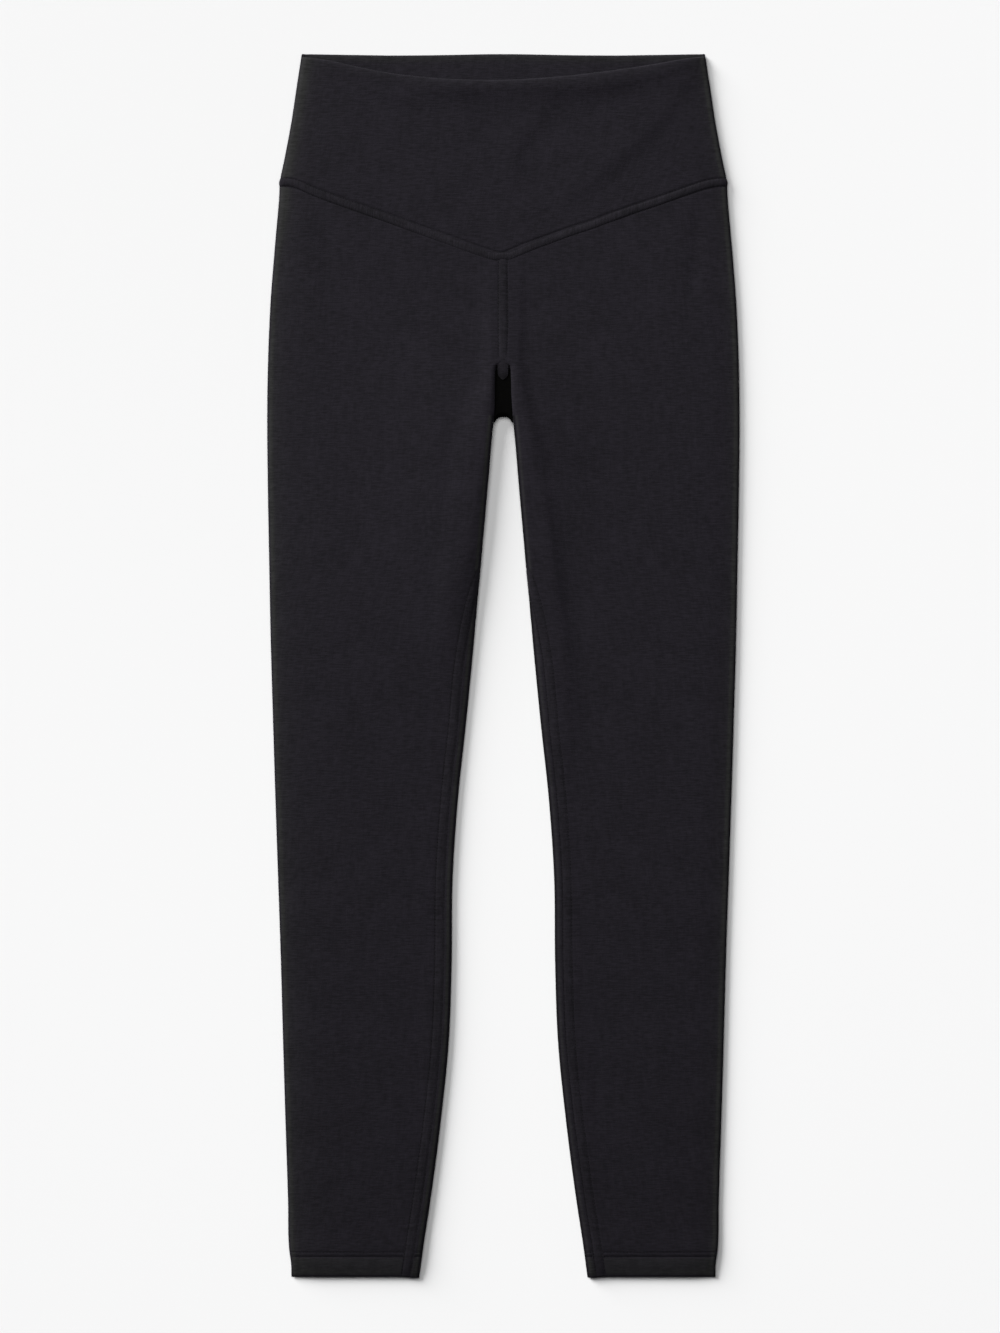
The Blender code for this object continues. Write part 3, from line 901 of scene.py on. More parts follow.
@dataclass(frozen=True)
class Jersey:
    """A matte, brushed and finely heathered jersey.

    Attributes:
        name: The material's name.
        colour: Its middle colour, linear.
        spread: How far its dark and light fibres lie from that, as a share.
        contrast: Strength of the heathering.
        loops: Height of the knit's loops, as a share of the bump.
        nap: Height of the brushed nap, as a share of the bump.
        bump: Height of the bump in millimetres.
        roughness: The shader's roughness.
        specular: The shader's specular level.
        sheen: Weight of the nap's sheen.
        sheen_roughness: Its roughness.
        sheen_tint: Its colour.
    """

    name: str
    colour: tuple[float, float, float]
    spread: float = 0.32
    contrast: float = 1.0
    loops: float = 0.5
    nap: float = 0.7
    bump: float = 0.10
    roughness: float = 0.88
    specular: float = 0.08
    sheen: float = 0.03
    sheen_roughness: float = 0.45
    sheen_tint: tuple[float, float, float, float] = (0.9, 0.9, 1.0, 1)

    def material(self) -> bpy.types.Material:
        """Make the material; its pattern follows the piece's cloth coordinates."""
        made = bpy.data.materials.new(self.name)
        made.use_nodes = True
        tree = made.node_tree
        shader = tree.nodes["Principled BSDF"]
        shader.inputs["Roughness"].default_value = self.roughness
        shader.inputs["Specular IOR Level"].default_value = self.specular
        shader.inputs["Sheen Weight"].default_value = self.sheen
        shader.inputs["Sheen Roughness"].default_value = self.sheen_roughness
        shader.inputs["Sheen Tint"].default_value = self.sheen_tint
        cloth = tree.nodes.new("ShaderNodeUVMap")
        cloth.uv_map = UV_MAP
        # Lightness of each point, with painted highlights, sheen and shade
        tone = tree.nodes.new("ShaderNodeAttribute")
        tone.attribute_name = TONE

        fibres = tree.nodes.new("ShaderNodeGroup")
        fibres.node_tree = bpy.data.node_groups.get("heathered_fibres") or heather_group()
        for socket, share in (("Dark", 1 - self.spread), ("Light", 1 + self.spread)):
            fibres.inputs[socket].default_value = (*(c * share for c in self.colour), 1)
        fibres.inputs["Contrast"].default_value = self.contrast
        tree.links.new(cloth.outputs["UV"], fibres.inputs["Cloth"])
        tree.links.new(tone.outputs["Fac"], fibres.inputs["Tone"])
        tree.links.new(fibres.outputs["Color"], shader.inputs["Base Color"])

        knit = tree.nodes.new("ShaderNodeGroup")
        knit.node_tree = bpy.data.node_groups.get("brushed_knit") or knit_group()
        knit.inputs["Loops"].default_value = self.loops
        knit.inputs["Nap"].default_value = self.nap
        bump = tree.nodes.new("ShaderNodeBump")
        bump.inputs["Strength"].default_value = 1
        bump.inputs["Distance"].default_value = self.bump * MM
        tree.links.new(cloth.outputs["UV"], knit.inputs["Cloth"])
        tree.links.new(knit.outputs["Height"], bump.inputs["Height"])
        tree.links.new(bump.outputs["Normal"], shader.inputs["Normal"])
        return made


@dataclass(frozen=True)
class Thread:
    """A soft, matte sewing thread.

    Attributes:
        name: The material's name.
        colour: Its colour, linear.
        twist: Length of one turn of the yarn, in millimetres.
        slant: Angle of the twist, in degrees.
        bands: Waves of the pattern in one turn.
        spread: How far the twist's dark and light lie from the colour, as a share.
        bump: Height of the twist, in millimetres.
        roughness: The shader's roughness.
        specular: The shader's specular level.
    """

    name: str
    colour: tuple[float, float, float]
    twist: float = 0.5
    slant: float = 35.0
    bands: float = 0.3
    spread: float = 0.3
    bump: float = 0.05
    roughness: float = 0.7
    specular: float = 0.05

    def material(self) -> bpy.types.Material:
        """Make the material; slanted bands along each stitch are the yarn's twist."""
        made = bpy.data.materials.new(self.name)
        made.use_nodes = True
        tree = made.node_tree
        shader = tree.nodes["Principled BSDF"]
        shader.inputs["Roughness"].default_value = self.roughness
        shader.inputs["Specular IOR Level"].default_value = self.specular
        cloth = tree.nodes.new("ShaderNodeUVMap")
        cloth.uv_map = UV_MAP
        turns = tree.nodes.new("ShaderNodeMapping")
        turns.inputs["Scale"].default_value = (1 / (self.twist * MM),) * 3
        turns.inputs["Rotation"].default_value = (0, 0, math.radians(self.slant))
        yarn = tree.nodes.new("ShaderNodeTexWave")
        yarn.bands_direction = "Y"
        yarn.inputs["Scale"].default_value = self.bands
        tree.links.new(cloth.outputs["UV"], turns.inputs["Vector"])
        tree.links.new(turns.outputs["Vector"], yarn.inputs["Vector"])
        mix = tree.nodes.new("ShaderNodeMix")
        mix.data_type = "RGBA"
        mix.inputs["A"].default_value = (*(c * (1 - self.spread) for c in self.colour), 1)
        mix.inputs["B"].default_value = (*(c * (1 + self.spread) for c in self.colour), 1)
        tree.links.new(yarn.outputs["Fac"], mix.inputs["Factor"])
        tree.links.new(mix.outputs["Result"], shader.inputs["Base Color"])
        bump = tree.nodes.new("ShaderNodeBump")
        bump.inputs["Distance"].default_value = self.bump * MM
        tree.links.new(yarn.outputs["Fac"], bump.inputs["Height"])
        tree.links.new(bump.outputs["Normal"], shader.inputs["Normal"])
        return made


@dataclass
class Wardrobe:
    """The garment's finishes, each made into a material once."""

    leg: Jersey = Jersey("leg_cloth", (0.0075, 0.0065, 0.0091))
    band: Jersey = Jersey("band_cloth", (0.0075, 0.0065, 0.0091))
    # Near black: painted shade for the deep shadow where the gusset sinks at the crotch
    gusset: Jersey = Jersey("gusset_cloth", (0.0007, 0.0007, 0.0006), specular=0.02, sheen=0.0)
    seam: Jersey = Jersey("seam_cloth", (0.0077, 0.0068, 0.0091), spread=0.4, bump=0.14)
    thread: Thread = Thread("cover_thread", (0.0030, 0.0027, 0.0036))

    def material(self, finish: Jersey | Thread) -> bpy.types.Material:
        """Give a finish's material, made when it is first asked for."""
        return bpy.data.materials.get(finish.name) or finish.material()

    def dress(self, piece: Piece, finish: Jersey | Thread, slot: Slot,
              replaced: tuple[str, ...] = ()) -> Piece:
        """Give a piece its finish and body, and hide the nodes of the frame that it stands for.

        Args:
            piece: The piece.
            finish: Its finish.
            slot: The record's slot; not used.
            replaced: Nodes of the frame that it replaces.

        Returns:
            The piece.
        """
        piece.data.materials.append(self.material(finish))
        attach(piece, BODY)
        if replaced:
            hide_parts(*replaced)
        levels = [corner[2] / MM for corner in piece.bound_box]
        LOG.info("%s: %d faces, %.2f to %.2f mm high", piece.name, len(piece.data.polygons),
                 min(levels), max(levels))
        return piece


# --- Legs


@dataclass
class Leg:
    """One leg: a tube wrapped flat up to the crotch, and open at the centre above it.

    Attributes:
        pattern: The shared sizes.
        side: Whose leg it is, as the wearer sees it.
        folds: The crest down its inner thigh, and the reach of its inner fold.
        lip: The front panel's edge beside the gusset.
        creases: Soft creases of the front, in true distances across.
        back_creases: Creases of the back, pressed into the layer that lies underneath.
        broad: Width of the slow fall beyond the crest.
        fold_painted_light: Painted highlight on the inner fold's rim, painted shade on its edge.
    """

    pattern: Pattern
    side: Side
    folds: Table
    lip: Table
    creases: tuple[Crease, ...]
    back_creases: tuple[Crease, ...]
    broad: float
    fold_painted_light: tuple[SoftLine, ...]

    # The cut, in metres and square metres
    flat_width: float = 0.368
    flat_area: float = 0.252

    # The hem: heights over which it thins, drops and lies back, and depths of its furrows
    hem_thin: float = 9.0
    hem_corner: SoftLine = SoftLine(0.8, 4.0, 6.0)
    hem_corner_height: float = 8.0
    hem_setback: float = 0.4
    hem_setback_height: float = 6.0
    groove_widths: Pair = (0.8, 0.7)
    front_grooves: Pair = (0.30, 0.16)
    back_grooves: Pair = (0.45, 0.42)

    # Lightness: paler hem, painted light and shade on its edge, painted shade in furrows, inside
    hem_tone: float = 0.18
    hem_blend: float = 0.6
    hem_edge_shading: tuple[SoftLine, ...] = (SoftLine(0.14, 3.6, 1.3), SoftLine(-0.35, 0.6, 0.9))
    groove_shade: Pair = (0.30, 0.2)
    groove_shade_widths: Pair = (0.7, 0.6)
    furrow_shade: float = 0.8
    inner_tone: float = 1.1

    # Rounding of the open edges: its reach, and where it starts at a seam
    hem_rim: float = 1.8
    seam_rim: float = 1.1
    seam_rim_start: float = 0.6

    # The wrap round the inner fold, and heights over which the back opens out and is pressed
    inseam_reach: float = 9.0
    row_gap: float = 0.001
    unfold: float = 3.0
    rise_press: float = 5.0
    fold_level: float = 2.4
    fold_turn: int = 3
    fold_beyond: float = 30.0

    # Columns round the leg
    start_steps: Numbers = (0, 0.03, 0.12, 0.3, 0.6, 1.0, 1.5, 2.1, 2.6, 3.0, 3.4, 3.8, 4.3, 5.0,
                            6.2, 8.0)
    flat_columns: int = 70
    back_columns: int = 20
    wrap_near: Numbers = (-6, -5.2, -4.5, -3.9, -3.4, -3.0, -2.6, -2.25, -1.9, -1.55, -1.25, -1.0,
                          -0.8, -0.6, -0.45, -0.32, -0.22, -0.14, -0.08, -0.04, -0.02, -0.006,
                          -0.001)
    wrap_far: Numbers = (-6, -4.4, -3.2, -2.4, -1.7, -1.1, -0.6, -0.25, -0.06, 0, 0.12, 0.4, 0.9,
                         1.6, 2.5, 3.6, 4.8, 5.5, 6.0, 6.5, 7.0, 7.7, 8.7)

    # Rows up the leg
    hem_rows: Numbers = (0, 0.15, 0.4, 0.8, 1.4, 2.2, 4, 7, 10, 12.6, 14.6, 15.4, 15.9, 16.15,
                         16.4, 16.65, 16.95, 17.6, 18.6, 19.2, 19.6, 19.9, 20.2, 20.6, 21.4, 22.6,
                         24.4, 27)
    shin_start: float = 30.0
    shin_pitch: float = 3.6
    crotch_zone: float = 12.0
    crotch_rows: int = 7
    unfold_rows: int = 3
    back_rise_rows: int = 25
    upper_rows: int = 42
    seam_row_gap: float = 0.7
    seam_rows: Numbers = (6.6, 5.6, 4.9, 4.4, 3.9, 3.5, 3.1, 2.7, 2.2, 1.6, 0.9, 0.4, 0.15)
    rounds: int = 4

    @property
    def name(self) -> str:
        """The node that the leg replaces."""
        return "leg_" + self.side.name.lower()

    @property
    def front_columns(self) -> int:
        """How many of a row's columns lie on the front."""
        return len(self.start_steps) + self.flat_columns + len(self.pattern.fold_insets)

    def crown(self, height: Array, across: Array) -> Array:
        """Height of the front's creases over the smooth layer.

        A crest runs down the inner thigh. Beyond it two bells fall away, one narrow and one
        broad; between it and the inner fold the cloth falls by a square law. Their sizes change
        with height. The leg's own creases are added to them.

        Args:
            height: Heights above the hem.
            across: Distances from the centre line, positive.

        Returns:
            The added height.
        """
        read = self.folds.smooth
        crest = read("crest", height)
        past = across - self.pattern.gap(height) - crest
        beyond = np.maximum(past, 0)
        short = np.clip(-past / crest, 0, 1)
        return (read("lift", height) * bell(beyond, read("lee", height))
                + read("broad", height) * bell(beyond, self.broad)
                - read("fall", height) * short ** 2
                + relief(self.creases, self.side.value * across, height))

    def fold_half(self, height: Array) -> Array:
        """Half the thickness of the leg at its inner fold."""
        p, read = self.pattern, self.folds.smooth
        top = p.layers.smooth("top", height) + read("lift", height) + read("broad", height)
        return (top - read("fall", height) - p.spring(height)) / 2

    def furrows(self, height: Array, across: Array) -> Array:
        """Depth of the stitched furrows beside the V seam, the front rise and the inseam."""
        p, sign = self.pattern, self.side.value
        inseam = across - p.gap(height) - p.inseam.smooth("band", height)
        return (p.yoke_furrowed(height - p.yoke(sign * across))
                + p.rise_furrowed(across - sign * p.rise_middle, height)
                + p.inseam_furrowed(inseam, height))

    def front(self, height: Array, across: Array,
              thick: Array | float) -> Arrays:
        """Points of the front layer.

        The flat top falls along a quarter ellipse to the side fold on one side, and to the
        inner fold or the rolled lip on the other.

        Args:
            height: Heights above the hem.
            across: Distances from the centre line.
            thick: Distance in from the outer surface, 0 on it.

        Returns:
            Distances across and heights above the surface.
        """
        p = self.pattern
        below = height <= p.crotch
        middle = p.middle(height)
        edge = np.where(below, p.gap(height), self.lip.straight("edge", height))
        base = np.where(below, self.fold_half(height), self.lip.straight("z", height))
        base = base + p.spring(height)
        roll = np.where(below, 1, self.lip.straight("roll", height))
        outside, inside = p.side(height) - across, across - edge
        reach = self.folds.smooth("reach", height)
        top = p.loft(height, outside) - thick + self.crown(height, across)
        z = middle + (top - middle) * quarter(outside, p.nose)
        z = base + (z - base) * (1 - roll * (1 - quarter(inside, reach)))
        z = z - self.furrows(height, across) * quarter(outside, p.nose)
        shift = (roll * np.clip(1 - inside / reach, 0, 1)
                 - np.clip(1 - outside / p.nose, 0, 1))
        return across + thick * shift, z

    def under(self, middle: Array, inset: Array, edge: Array, towards: int,
              thick: Array | float) -> Arrays:
        """Points of the back layer beside a fold.

        Args:
            middle: Half the thickness of the leg at the fold.
            inset: Distances in from the fold's outermost line.
            edge: That line's distance across.
            towards: 1 where inwards is away from the centre line, else -1.
            thick: Distance in from the outer surface.

        Returns:
            Distances across and heights above the surface.
        """
        z = middle - (middle - thick) * quarter(inset, self.pattern.heel)
        slope = np.clip(1 - inset / self.pattern.heel, 0, 1)
        return edge + towards * (inset + thick * slope), z

    def wrap(self, height: Array, along: Array,
             thick: Array | float) -> Arrays:
        """Points round the inner fold; above the crotch the back layer opens out flat.

        Args:
            height: Heights above the hem.
            along: Distances past the fold's outermost line, negative underneath.
            thick: Distance in from the outer surface.

        Returns:
            Distances across and heights above the surface.
        """
        p = self.pattern
        edge = np.where(height <= p.crotch, p.gap(height), p.back_edge(height))
        beneath = -np.minimum(along, 0)
        below = self.under(self.fold_half(height), beneath, edge, 1, thick)
        above = self.front(height, edge + np.maximum(along, 0), thick)
        across = np.where(along > 0, above[0], below[0])
        z = np.where(along > 0, above[1], below[1] + p.curl(height, beneath))
        t = ramp(height, p.crotch, p.crotch + self.unfold)
        return across * (1 - t) + (edge - along) * t, z * (1 - t) + thick * t

    def section(self, height: Array,
                thick: Array) -> Arrays:
        """Every column of the leg: front, side fold, back, inner fold.

        Args:
            height: Heights, rows by columns.
            thick: Distances in from the outer surface, of the same shape.

        Returns:
            Distances across and heights above the surface.
        """
        p = self.pattern
        lower = height <= p.crotch
        side = p.side(height)
        reach = p.inseam.straight("reach", height)
        start = np.where(lower, p.gap(height) + reach, self.lip.straight("edge", height))
        across, z = np.empty_like(height), np.empty_like(height)

        steps, insets = np.array(self.start_steps), p.fold_insets
        first, last = len(steps), self.front_columns
        ends = last - len(insets)
        across[:, :first] = start[:, :first] + steps
        share = np.linspace(0, 1, self.flat_columns + 2)[1:-1]
        low = start[:, first:ends] + steps[-1]
        across[:, first:ends] = low + (side[:, first:ends] - p.shoulder - low) * share
        across[:, ends:last] = side[:, ends:last] - insets
        across[:, :last], z[:, :last] = self.front(height[:, :last], across[:, :last],
                                                   thick[:, :last])

        heel = arc_insets(p.heel, p.heel_turns)
        after = last + len(heel)
        across[:, last:after], z[:, last:after] = self.under(
            p.middle(height[:, last:after]), heel, side[:, last:after], -1,
            thick[:, last:after])

        back = slice(after, after + self.back_columns)
        edge = np.where(lower, p.gap(height), p.back_edge(height))[:, back]
        share = np.linspace(0, 1, self.back_columns + 2)[1:-1]
        outer_end = side[:, back] - p.heel
        across[:, back] = outer_end + (edge - self.wrap_near[0] - outer_end) * share
        curl = np.where(lower[:, back], p.curl(height[:, back], across[:, back] - edge), 0)
        z[:, back] = thick[:, back] + curl

        rest = slice(back.stop, None)
        near, far = np.array(self.wrap_near), np.array(self.wrap_far)
        pull = np.clip(reach[:, rest] / self.inseam_reach, 0, 1)
        along = np.minimum(near * (1 - pull) + far * pull, reach[:, rest] - self.row_gap)
        across[:, rest], z[:, rest] = self.wrap(height[:, rest], along, thick[:, rest])
        return across, z

    def heights(self) -> Array:
        """Rows of the leg up to the end of the back rise, closest at the hem and the crotch."""
        crotch = self.pattern.crotch
        zone, opened = crotch - self.crotch_zone, crotch + self.unfold
        shin = np.arange(self.shin_start, zone, self.shin_pitch)
        thigh = np.linspace(zone, crotch, self.crotch_rows)
        slit = np.linspace(crotch, opened, self.unfold_rows + 1)[1:]
        rise = np.linspace(opened, self.pattern.back_rise_end, self.back_rise_rows + 1)[1:]
        return np.concatenate([self.hem_rows, shin, thigh, slit, rise])

    def grid(self) -> tuple[Array, Array, int]:
        """Work out the rows in every column.

        Rows above the back rise share out the way to the V seam, which slopes, so they settle
        over a few rounds.

        Returns:
            Heights of every point, the height of the V seam or back yoke over it, and how many
            rows are whole rings.
        """
        p = self.pattern
        low = self.heights()
        shares = np.linspace(0, 1, self.upper_rows + 1)[1:]
        near_seam = np.array(self.seam_rows)
        columns = (self.front_columns + len(p.heel_turns) + self.back_columns
                   + len(self.wrap_near))
        height = np.full((len(low) + len(shares) + len(near_seam), columns), p.back_yoke)
        height[:len(low)] = low[:, None]
        flat = np.zeros_like(height)
        for _ in range(self.rounds):
            across, _ = self.section(height, flat)
            seam = np.full(height.shape, p.back_yoke)
            front = slice(0, self.front_columns)
            seam[:, front] = p.yoke(self.side.value * across[:, front])
            high = seam[len(low):-len(near_seam)] - near_seam[0] - self.seam_row_gap
            height[len(low):-len(near_seam)] = (
                p.back_rise_end + (high - p.back_rise_end) * shares[:, None])
            height[-len(near_seam):] = seam[-len(near_seam):] - near_seam[:, None]
        return height, seam, int((low <= p.crotch).sum())

    def groove(self, height: Array, beneath: bool = False) -> Array:
        """Depth of the two stitched furrows above the hem, on the front or beneath."""
        depths = self.back_grooves if beneath else self.front_grooves
        return self.pattern.stitched(height, depths, self.groove_widths)

    def build(self) -> Piece:
        """Make the leg's wall of cloth, with its cloth coordinates and tones."""
        p = self.pattern
        height, seam, closed = self.grid()
        hem_wall = p.hem_wall + (p.hem_edge_wall - p.hem_wall) * ramp(height, self.hem_thin, 0)
        thick = np.where(height <= p.hem_depth, hem_wall, p.leg_wall)
        outer_across, outer_z = self.section(height, np.zeros_like(height))
        inner_across, inner_z = self.section(height, thick)

        front = np.arange(height.shape[1]) < self.front_columns
        upper = front | (outer_z > p.middle(height))
        side = p.side(height)
        on_flat = quarter(side - outer_across, p.nose) * quarter(
            outer_across - p.gap(height), p.nose)
        outer_z = outer_z + on_flat * np.where(upper, -self.groove(height),
                                               self.groove(height, True))
        pressed = relief(self.back_creases, self.side.value * outer_across, height)
        on_rise = ramp(height, p.back_rise_end, p.back_rise_end + self.rise_press)
        on_rise = on_rise * p.seat(outer_across)
        pressed = np.maximum(pressed * on_flat, np.maximum(on_rise, p.seat(seam - height)))
        pressed = np.where(front, 0, pressed * quarter(side - outer_across, p.nose))
        outer_z, inner_z = outer_z + pressed, inner_z + pressed

        corner = self.hem_corner.at(outer_across - p.gap(height))
        back = self.hem_setback * on_flat * upper * ramp(height, self.hem_setback_height, 0)
        drop = corner * ramp(height, self.hem_corner_height, 0) - back
        sign = self.side.value
        outer = p.place(sign * outer_across, height - drop, outer_z)
        inner = p.place(sign * inner_across, height - drop, inner_z)
        to_seam = np.where(seam > height, seam - height, np.inf)
        rim = np.minimum(height, to_seam + self.seam_rim_start)
        reach = np.where(height < self.shin_start, self.hem_rim, self.seam_rim)
        outer, inner = soften_rims(outer, inner, rim, reach)

        ring = np.concatenate([outer, outer[:, :1]], axis=1)
        cloth = np.stack([girth(ring), np.concatenate([height, height[:, :1]], 1) * MM], -1)
        tone = self.tones(height, outer_across, upper)
        return wall(self.name + "_cloth", outer, inner, cloth, tone, self.inner_tone, closed)

    def tones(self, height: Array, across: Array, upper: Array) -> Array:
        """Leg lightness: a paler hem, and painted light and shade at edges, furrows and folds.

        Args:
            height: Heights above the hem.
            across: Distances from the centre line, positive.
            upper: Whether the point is on the front.

        Returns:
            The lightness, 1 on plain cloth.
        """
        p = self.pattern
        outside, inside = p.side(height) - across, across - p.gap(height)
        turned = ramp(height, p.hem_depth + self.hem_blend, p.hem_depth - self.hem_blend)
        hem = self.hem_tone * turned + shading(self.hem_edge_shading, height)
        furrow = p.stitched(height, self.groove_shade, self.groove_shade_widths)
        furrow = furrow + self.furrow_shade * self.furrows(height, across) * upper
        inner_fold = np.where(height <= p.crotch, shading(self.fold_painted_light, inside), 0)
        return 1 + hem - furrow + p.sheen_and_shade(outside, self.side.value, height) + inner_fold

    def seam_base(self, heights: Array, offsets: Array) -> Array:
        """Surface points of the band that the inseam covers.

        Offsets are walked round the inner fold: a table of the fold's arc length turns them
        into distances past its outermost line.

        Args:
            heights: Heights along the seam.
            offsets: Distances from the seam's middle, over the cloth.

        Returns:
            Points in metres, heights by offsets by 3.
        """
        p = self.pattern
        turns = tuple(range(0, 91, self.fold_turn))
        along = np.concatenate([-arc_insets(p.heel, turns[:0:-1]), arc_insets(p.nose, turns)])
        high = np.where(along < 0, -quarter(-along, p.heel), quarter(along, p.nose))
        steps = np.hypot(np.diff(along), self.fold_level * np.diff(high))
        walked, flat = np.concatenate([[0], np.cumsum(steps)]), self.fold_beyond
        along = np.concatenate([[along[0] - flat], along, [along[-1] + flat]])
        walked = np.concatenate([[walked[0] - flat], walked, [walked[-1] + flat]])
        reach = p.inseam.smooth("band", heights)[:, None]
        spot = np.interp(np.interp(reach, along, walked) + offsets, walked, along)
        height = np.broadcast_to(heights[:, None], spot.shape)
        across, z = self.wrap(height, spot, 0.0)
        return p.place(self.side.value * across, height, z)


# --- Waistband


@dataclass
class Waistband:
    """The doubled waistband: a front from the V seam to its dipped rim, and a level back."""

    pattern: Pattern
    creases: tuple[Crease, ...]

    # The cuts, in metres and square metres
    front_cut: Pair = (0.350, 0.156)
    front_area: float = 0.0400
    back_cut: Pair = (0.350, 0.101)
    back_area: float = 0.0334

    # The back's rim: its level, its low peak and its raised corners
    back_top: float = 952.8
    back_peak: SoftLine = SoftLine(1.1, 0, 45.0)
    back_corner: float = 1.0
    back_corner_places: Pair = (90.0, 150.0)

    # Rounding of the open edges, and the bead inside the back's rim
    front_rim_reach: float = 1.4
    back_rim_reach: float = 1.3
    seam_rim_start: float = 0.6
    back_bead: SoftLine = SoftLine(0.25, 2.2, 1.6)

    # Lightness: painted highlights on the rims, painted shade in the seam's furrows, the inside
    rim_highlights: tuple[SoftLine, ...] = (SoftLine(0.03, 1.5, 2.2), SoftLine(0.03, 5, 4))
    furrow_shade: float = 0.8
    inner_tone: float = 1.04
    back_inner_tone: float = 1.02
    back_rim_highlight: SoftLine = SoftLine(0.22, 2.5, 3.0)

    # Columns across and rows up both walls
    columns: int = 150
    rows: int = 56
    back_columns: int = 90
    back_rows: int = 34
    seam_rows: Numbers = (0.15, 0.6, 1.3, 2.1, 2.7, 3.1, 3.5, 3.9, 4.4, 5.0, 5.8, 6.8)
    rim_steps: Numbers = (7, 6, 5, 4.1, 3.3, 2.6, 2, 1.5, 1.05, 0.65, 0.35, 0.12, 0)
    edge_shares: Numbers = (0, 0.005, 0.012, 0.022, 0.035)
    front_rounds: int = 5
    back_rounds: int = 3
    rim_roll: Table = Table(("lift",), (
        (0, -0.3), (0.3, -0.08), (0.9, 0.1), (2, 0.2), (4, 0.22), (7, 0.15), (10, 0.05),
        (13, 0), (15, 0)))

    def crown(self, height: Array, across: Array) -> Array:
        """Height of the front's creases over the smooth layer."""
        return relief(self.creases, across, height)

    def surface(self, height: Array, across: Array, top: Array,
                base: Array, reach: float,
                thick: float) -> Arrays:
        """Points of half a waistband, which falls along quarter ellipses to both side folds.

        Args:
            height: Heights above the hem.
            across: Distances across.
            top: Height of the flat layer.
            base: Height of the folds' edge.
            reach: Width of the quarter ellipse.
            thick: Distance in from the outer surface.

        Returns:
            Distances across and heights above the surface.
        """
        inset = self.pattern.side(height) - np.abs(across)
        z = base + (top - base) * quarter(inset, reach)
        lean = thick * np.clip(1 - inset / reach, 0, 1)
        return across - np.sign(across) * lean, z

    def front(self) -> Piece:
        """Make the front of the band, with a rolled rim and soft creases."""
        p = self.pattern
        insets = p.fold_insets
        ends = len(insets)
        near = np.array(self.seam_rows)
        climb = np.linspace(0, 1, self.rows + 2)[1:-1]
        rim_steps = np.array(self.rim_steps)
        total = len(near) + len(climb) + len(rim_steps)
        share = np.linspace(-1, 1, self.columns + 2)[1:-1]
        height = np.full((total, 2 * ends + self.columns), p.back_yoke)
        for _ in range(self.front_rounds):
            side = p.side(height)
            across = np.empty_like(height)
            across[:, :ends] = insets[::-1] - side[:, :ends]
            across[:, ends:-ends] = (side[:, ends:-ends] - p.shoulder) * share
            across[:, -ends:] = side[:, -ends:] - insets
            seam, rim = p.yoke(across), p.front_rim.smooth("height", across)
            low, high = seam + near[-1], rim - rim_steps[0]
            height[:len(near)] = seam[:len(near)] + near[:, None]
            middle = slice(len(near), -len(rim_steps))
            height[middle] = low[middle] + (high - low)[middle] * climb[:, None]
            height[-len(rim_steps):] = rim[-len(rim_steps):] - rim_steps[:, None]

        inset = side - np.abs(across)
        base = p.middle(height) + p.seam_gap / 2
        furrow = p.yoke_furrowed(height - seam)
        top = p.loft(height, inset) + self.crown(height, across) - furrow
        x, z = self.surface(height, across, top, base, p.nose, 0)
        roll = self.rim_roll.smooth("lift", rim - height)
        outer = p.place(x, height, z + roll * quarter(inset, p.nose) ** 2)
        x, z = self.surface(height, across, top - p.band_wall, base, p.nose, p.band_wall)
        inner = p.place(x, height, z)
        edge = np.minimum(rim - height, height - seam + self.seam_rim_start)
        outer, inner = soften_rims(outer, inner, edge, self.front_rim_reach)
        # Painted shade in the V seam's stitched furrows
        tone = self.tones(height, across, rim) - self.furrow_shade * furrow
        return wall("waistband_front_cloth", outer, inner, self.cloth(outer, height), tone,
                    self.inner_tone)

    def tones(self, height: Array, across: Array, rim: Array) -> Array:
        """Band front lightness: painted rim highlight, painted light and shade by its side folds.
        """
        inset = self.pattern.side(height) - np.abs(across)
        sheen_and_shade = self.pattern.sheen_and_shade(inset, across, height)
        return 1 + sheen_and_shade + shading(self.rim_highlights, rim - height)

    @staticmethod
    def cloth(points: Array, height: Array) -> Array:
        """Cloth coordinates of a band: distance walked across it, and height."""
        cloth = np.stack([girth(points), height * MM], -1)
        return np.concatenate([cloth, cloth[:, -1:]], axis=1)

    def back(self) -> Piece:
        """Make the back of the band, whose inside shows above the front's dipped rim."""
        p = self.pattern
        heel = arc_insets(p.heel, (0, *p.heel_turns))
        ends = len(heel)
        low = p.back_yoke + p.seam_gap / 2
        edge = np.array(self.edge_shares)
        between = np.linspace(edge[-1], 1 - edge[-1], self.back_rows)[1:-1]
        climb = np.concatenate([edge, between, 1 - edge[::-1]])
        share = np.linspace(-1, 1, self.back_columns + 2)[1:-1]
        height = np.full((len(climb), 2 * ends + self.back_columns), low)
        for _ in range(self.back_rounds):
            side = p.side(height)
            across = np.empty_like(height)
            across[:, :ends] = heel - side[:, :ends]
            across[:, ends:-ends] = (side[:, ends:-ends] - p.heel) * share
            across[:, -ends:] = side[:, -ends:] - heel[::-1]
            high = self.back_top + self.back_peak.at(across)
            high = high + self.back_corner * ramp(np.abs(across), *self.back_corner_places)
            height = low + (high - low) * climb[:, None]
        base = p.middle(height) - p.seam_gap / 2
        inset = p.side(height) - np.abs(across)
        seat = p.seat(height - p.back_yoke)
        x, z = self.surface(height, across, seat, base, p.heel, 0)
        outer = p.place(x, height, z)
        x, z = self.surface(height, across, seat + p.band_wall, base, p.heel, p.band_wall)
        bead = self.back_bead.at(high - height) * quarter(inset, p.shoulder)
        inner = p.place(x, height, z + bead)
        rim = np.minimum(high - height, height - low + self.seam_rim_start)
        outer, inner = soften_rims(outer, inner, rim, self.back_rim_reach)
        # Painted highlight along the top of the back's inside
        inner_tone = self.back_inner_tone + self.back_rim_highlight.at(high - height)
        return wall("waistband_back_cloth", outer, inner, self.cloth(outer, height), 1.0,
                    inner_tone)


# --- Gusset


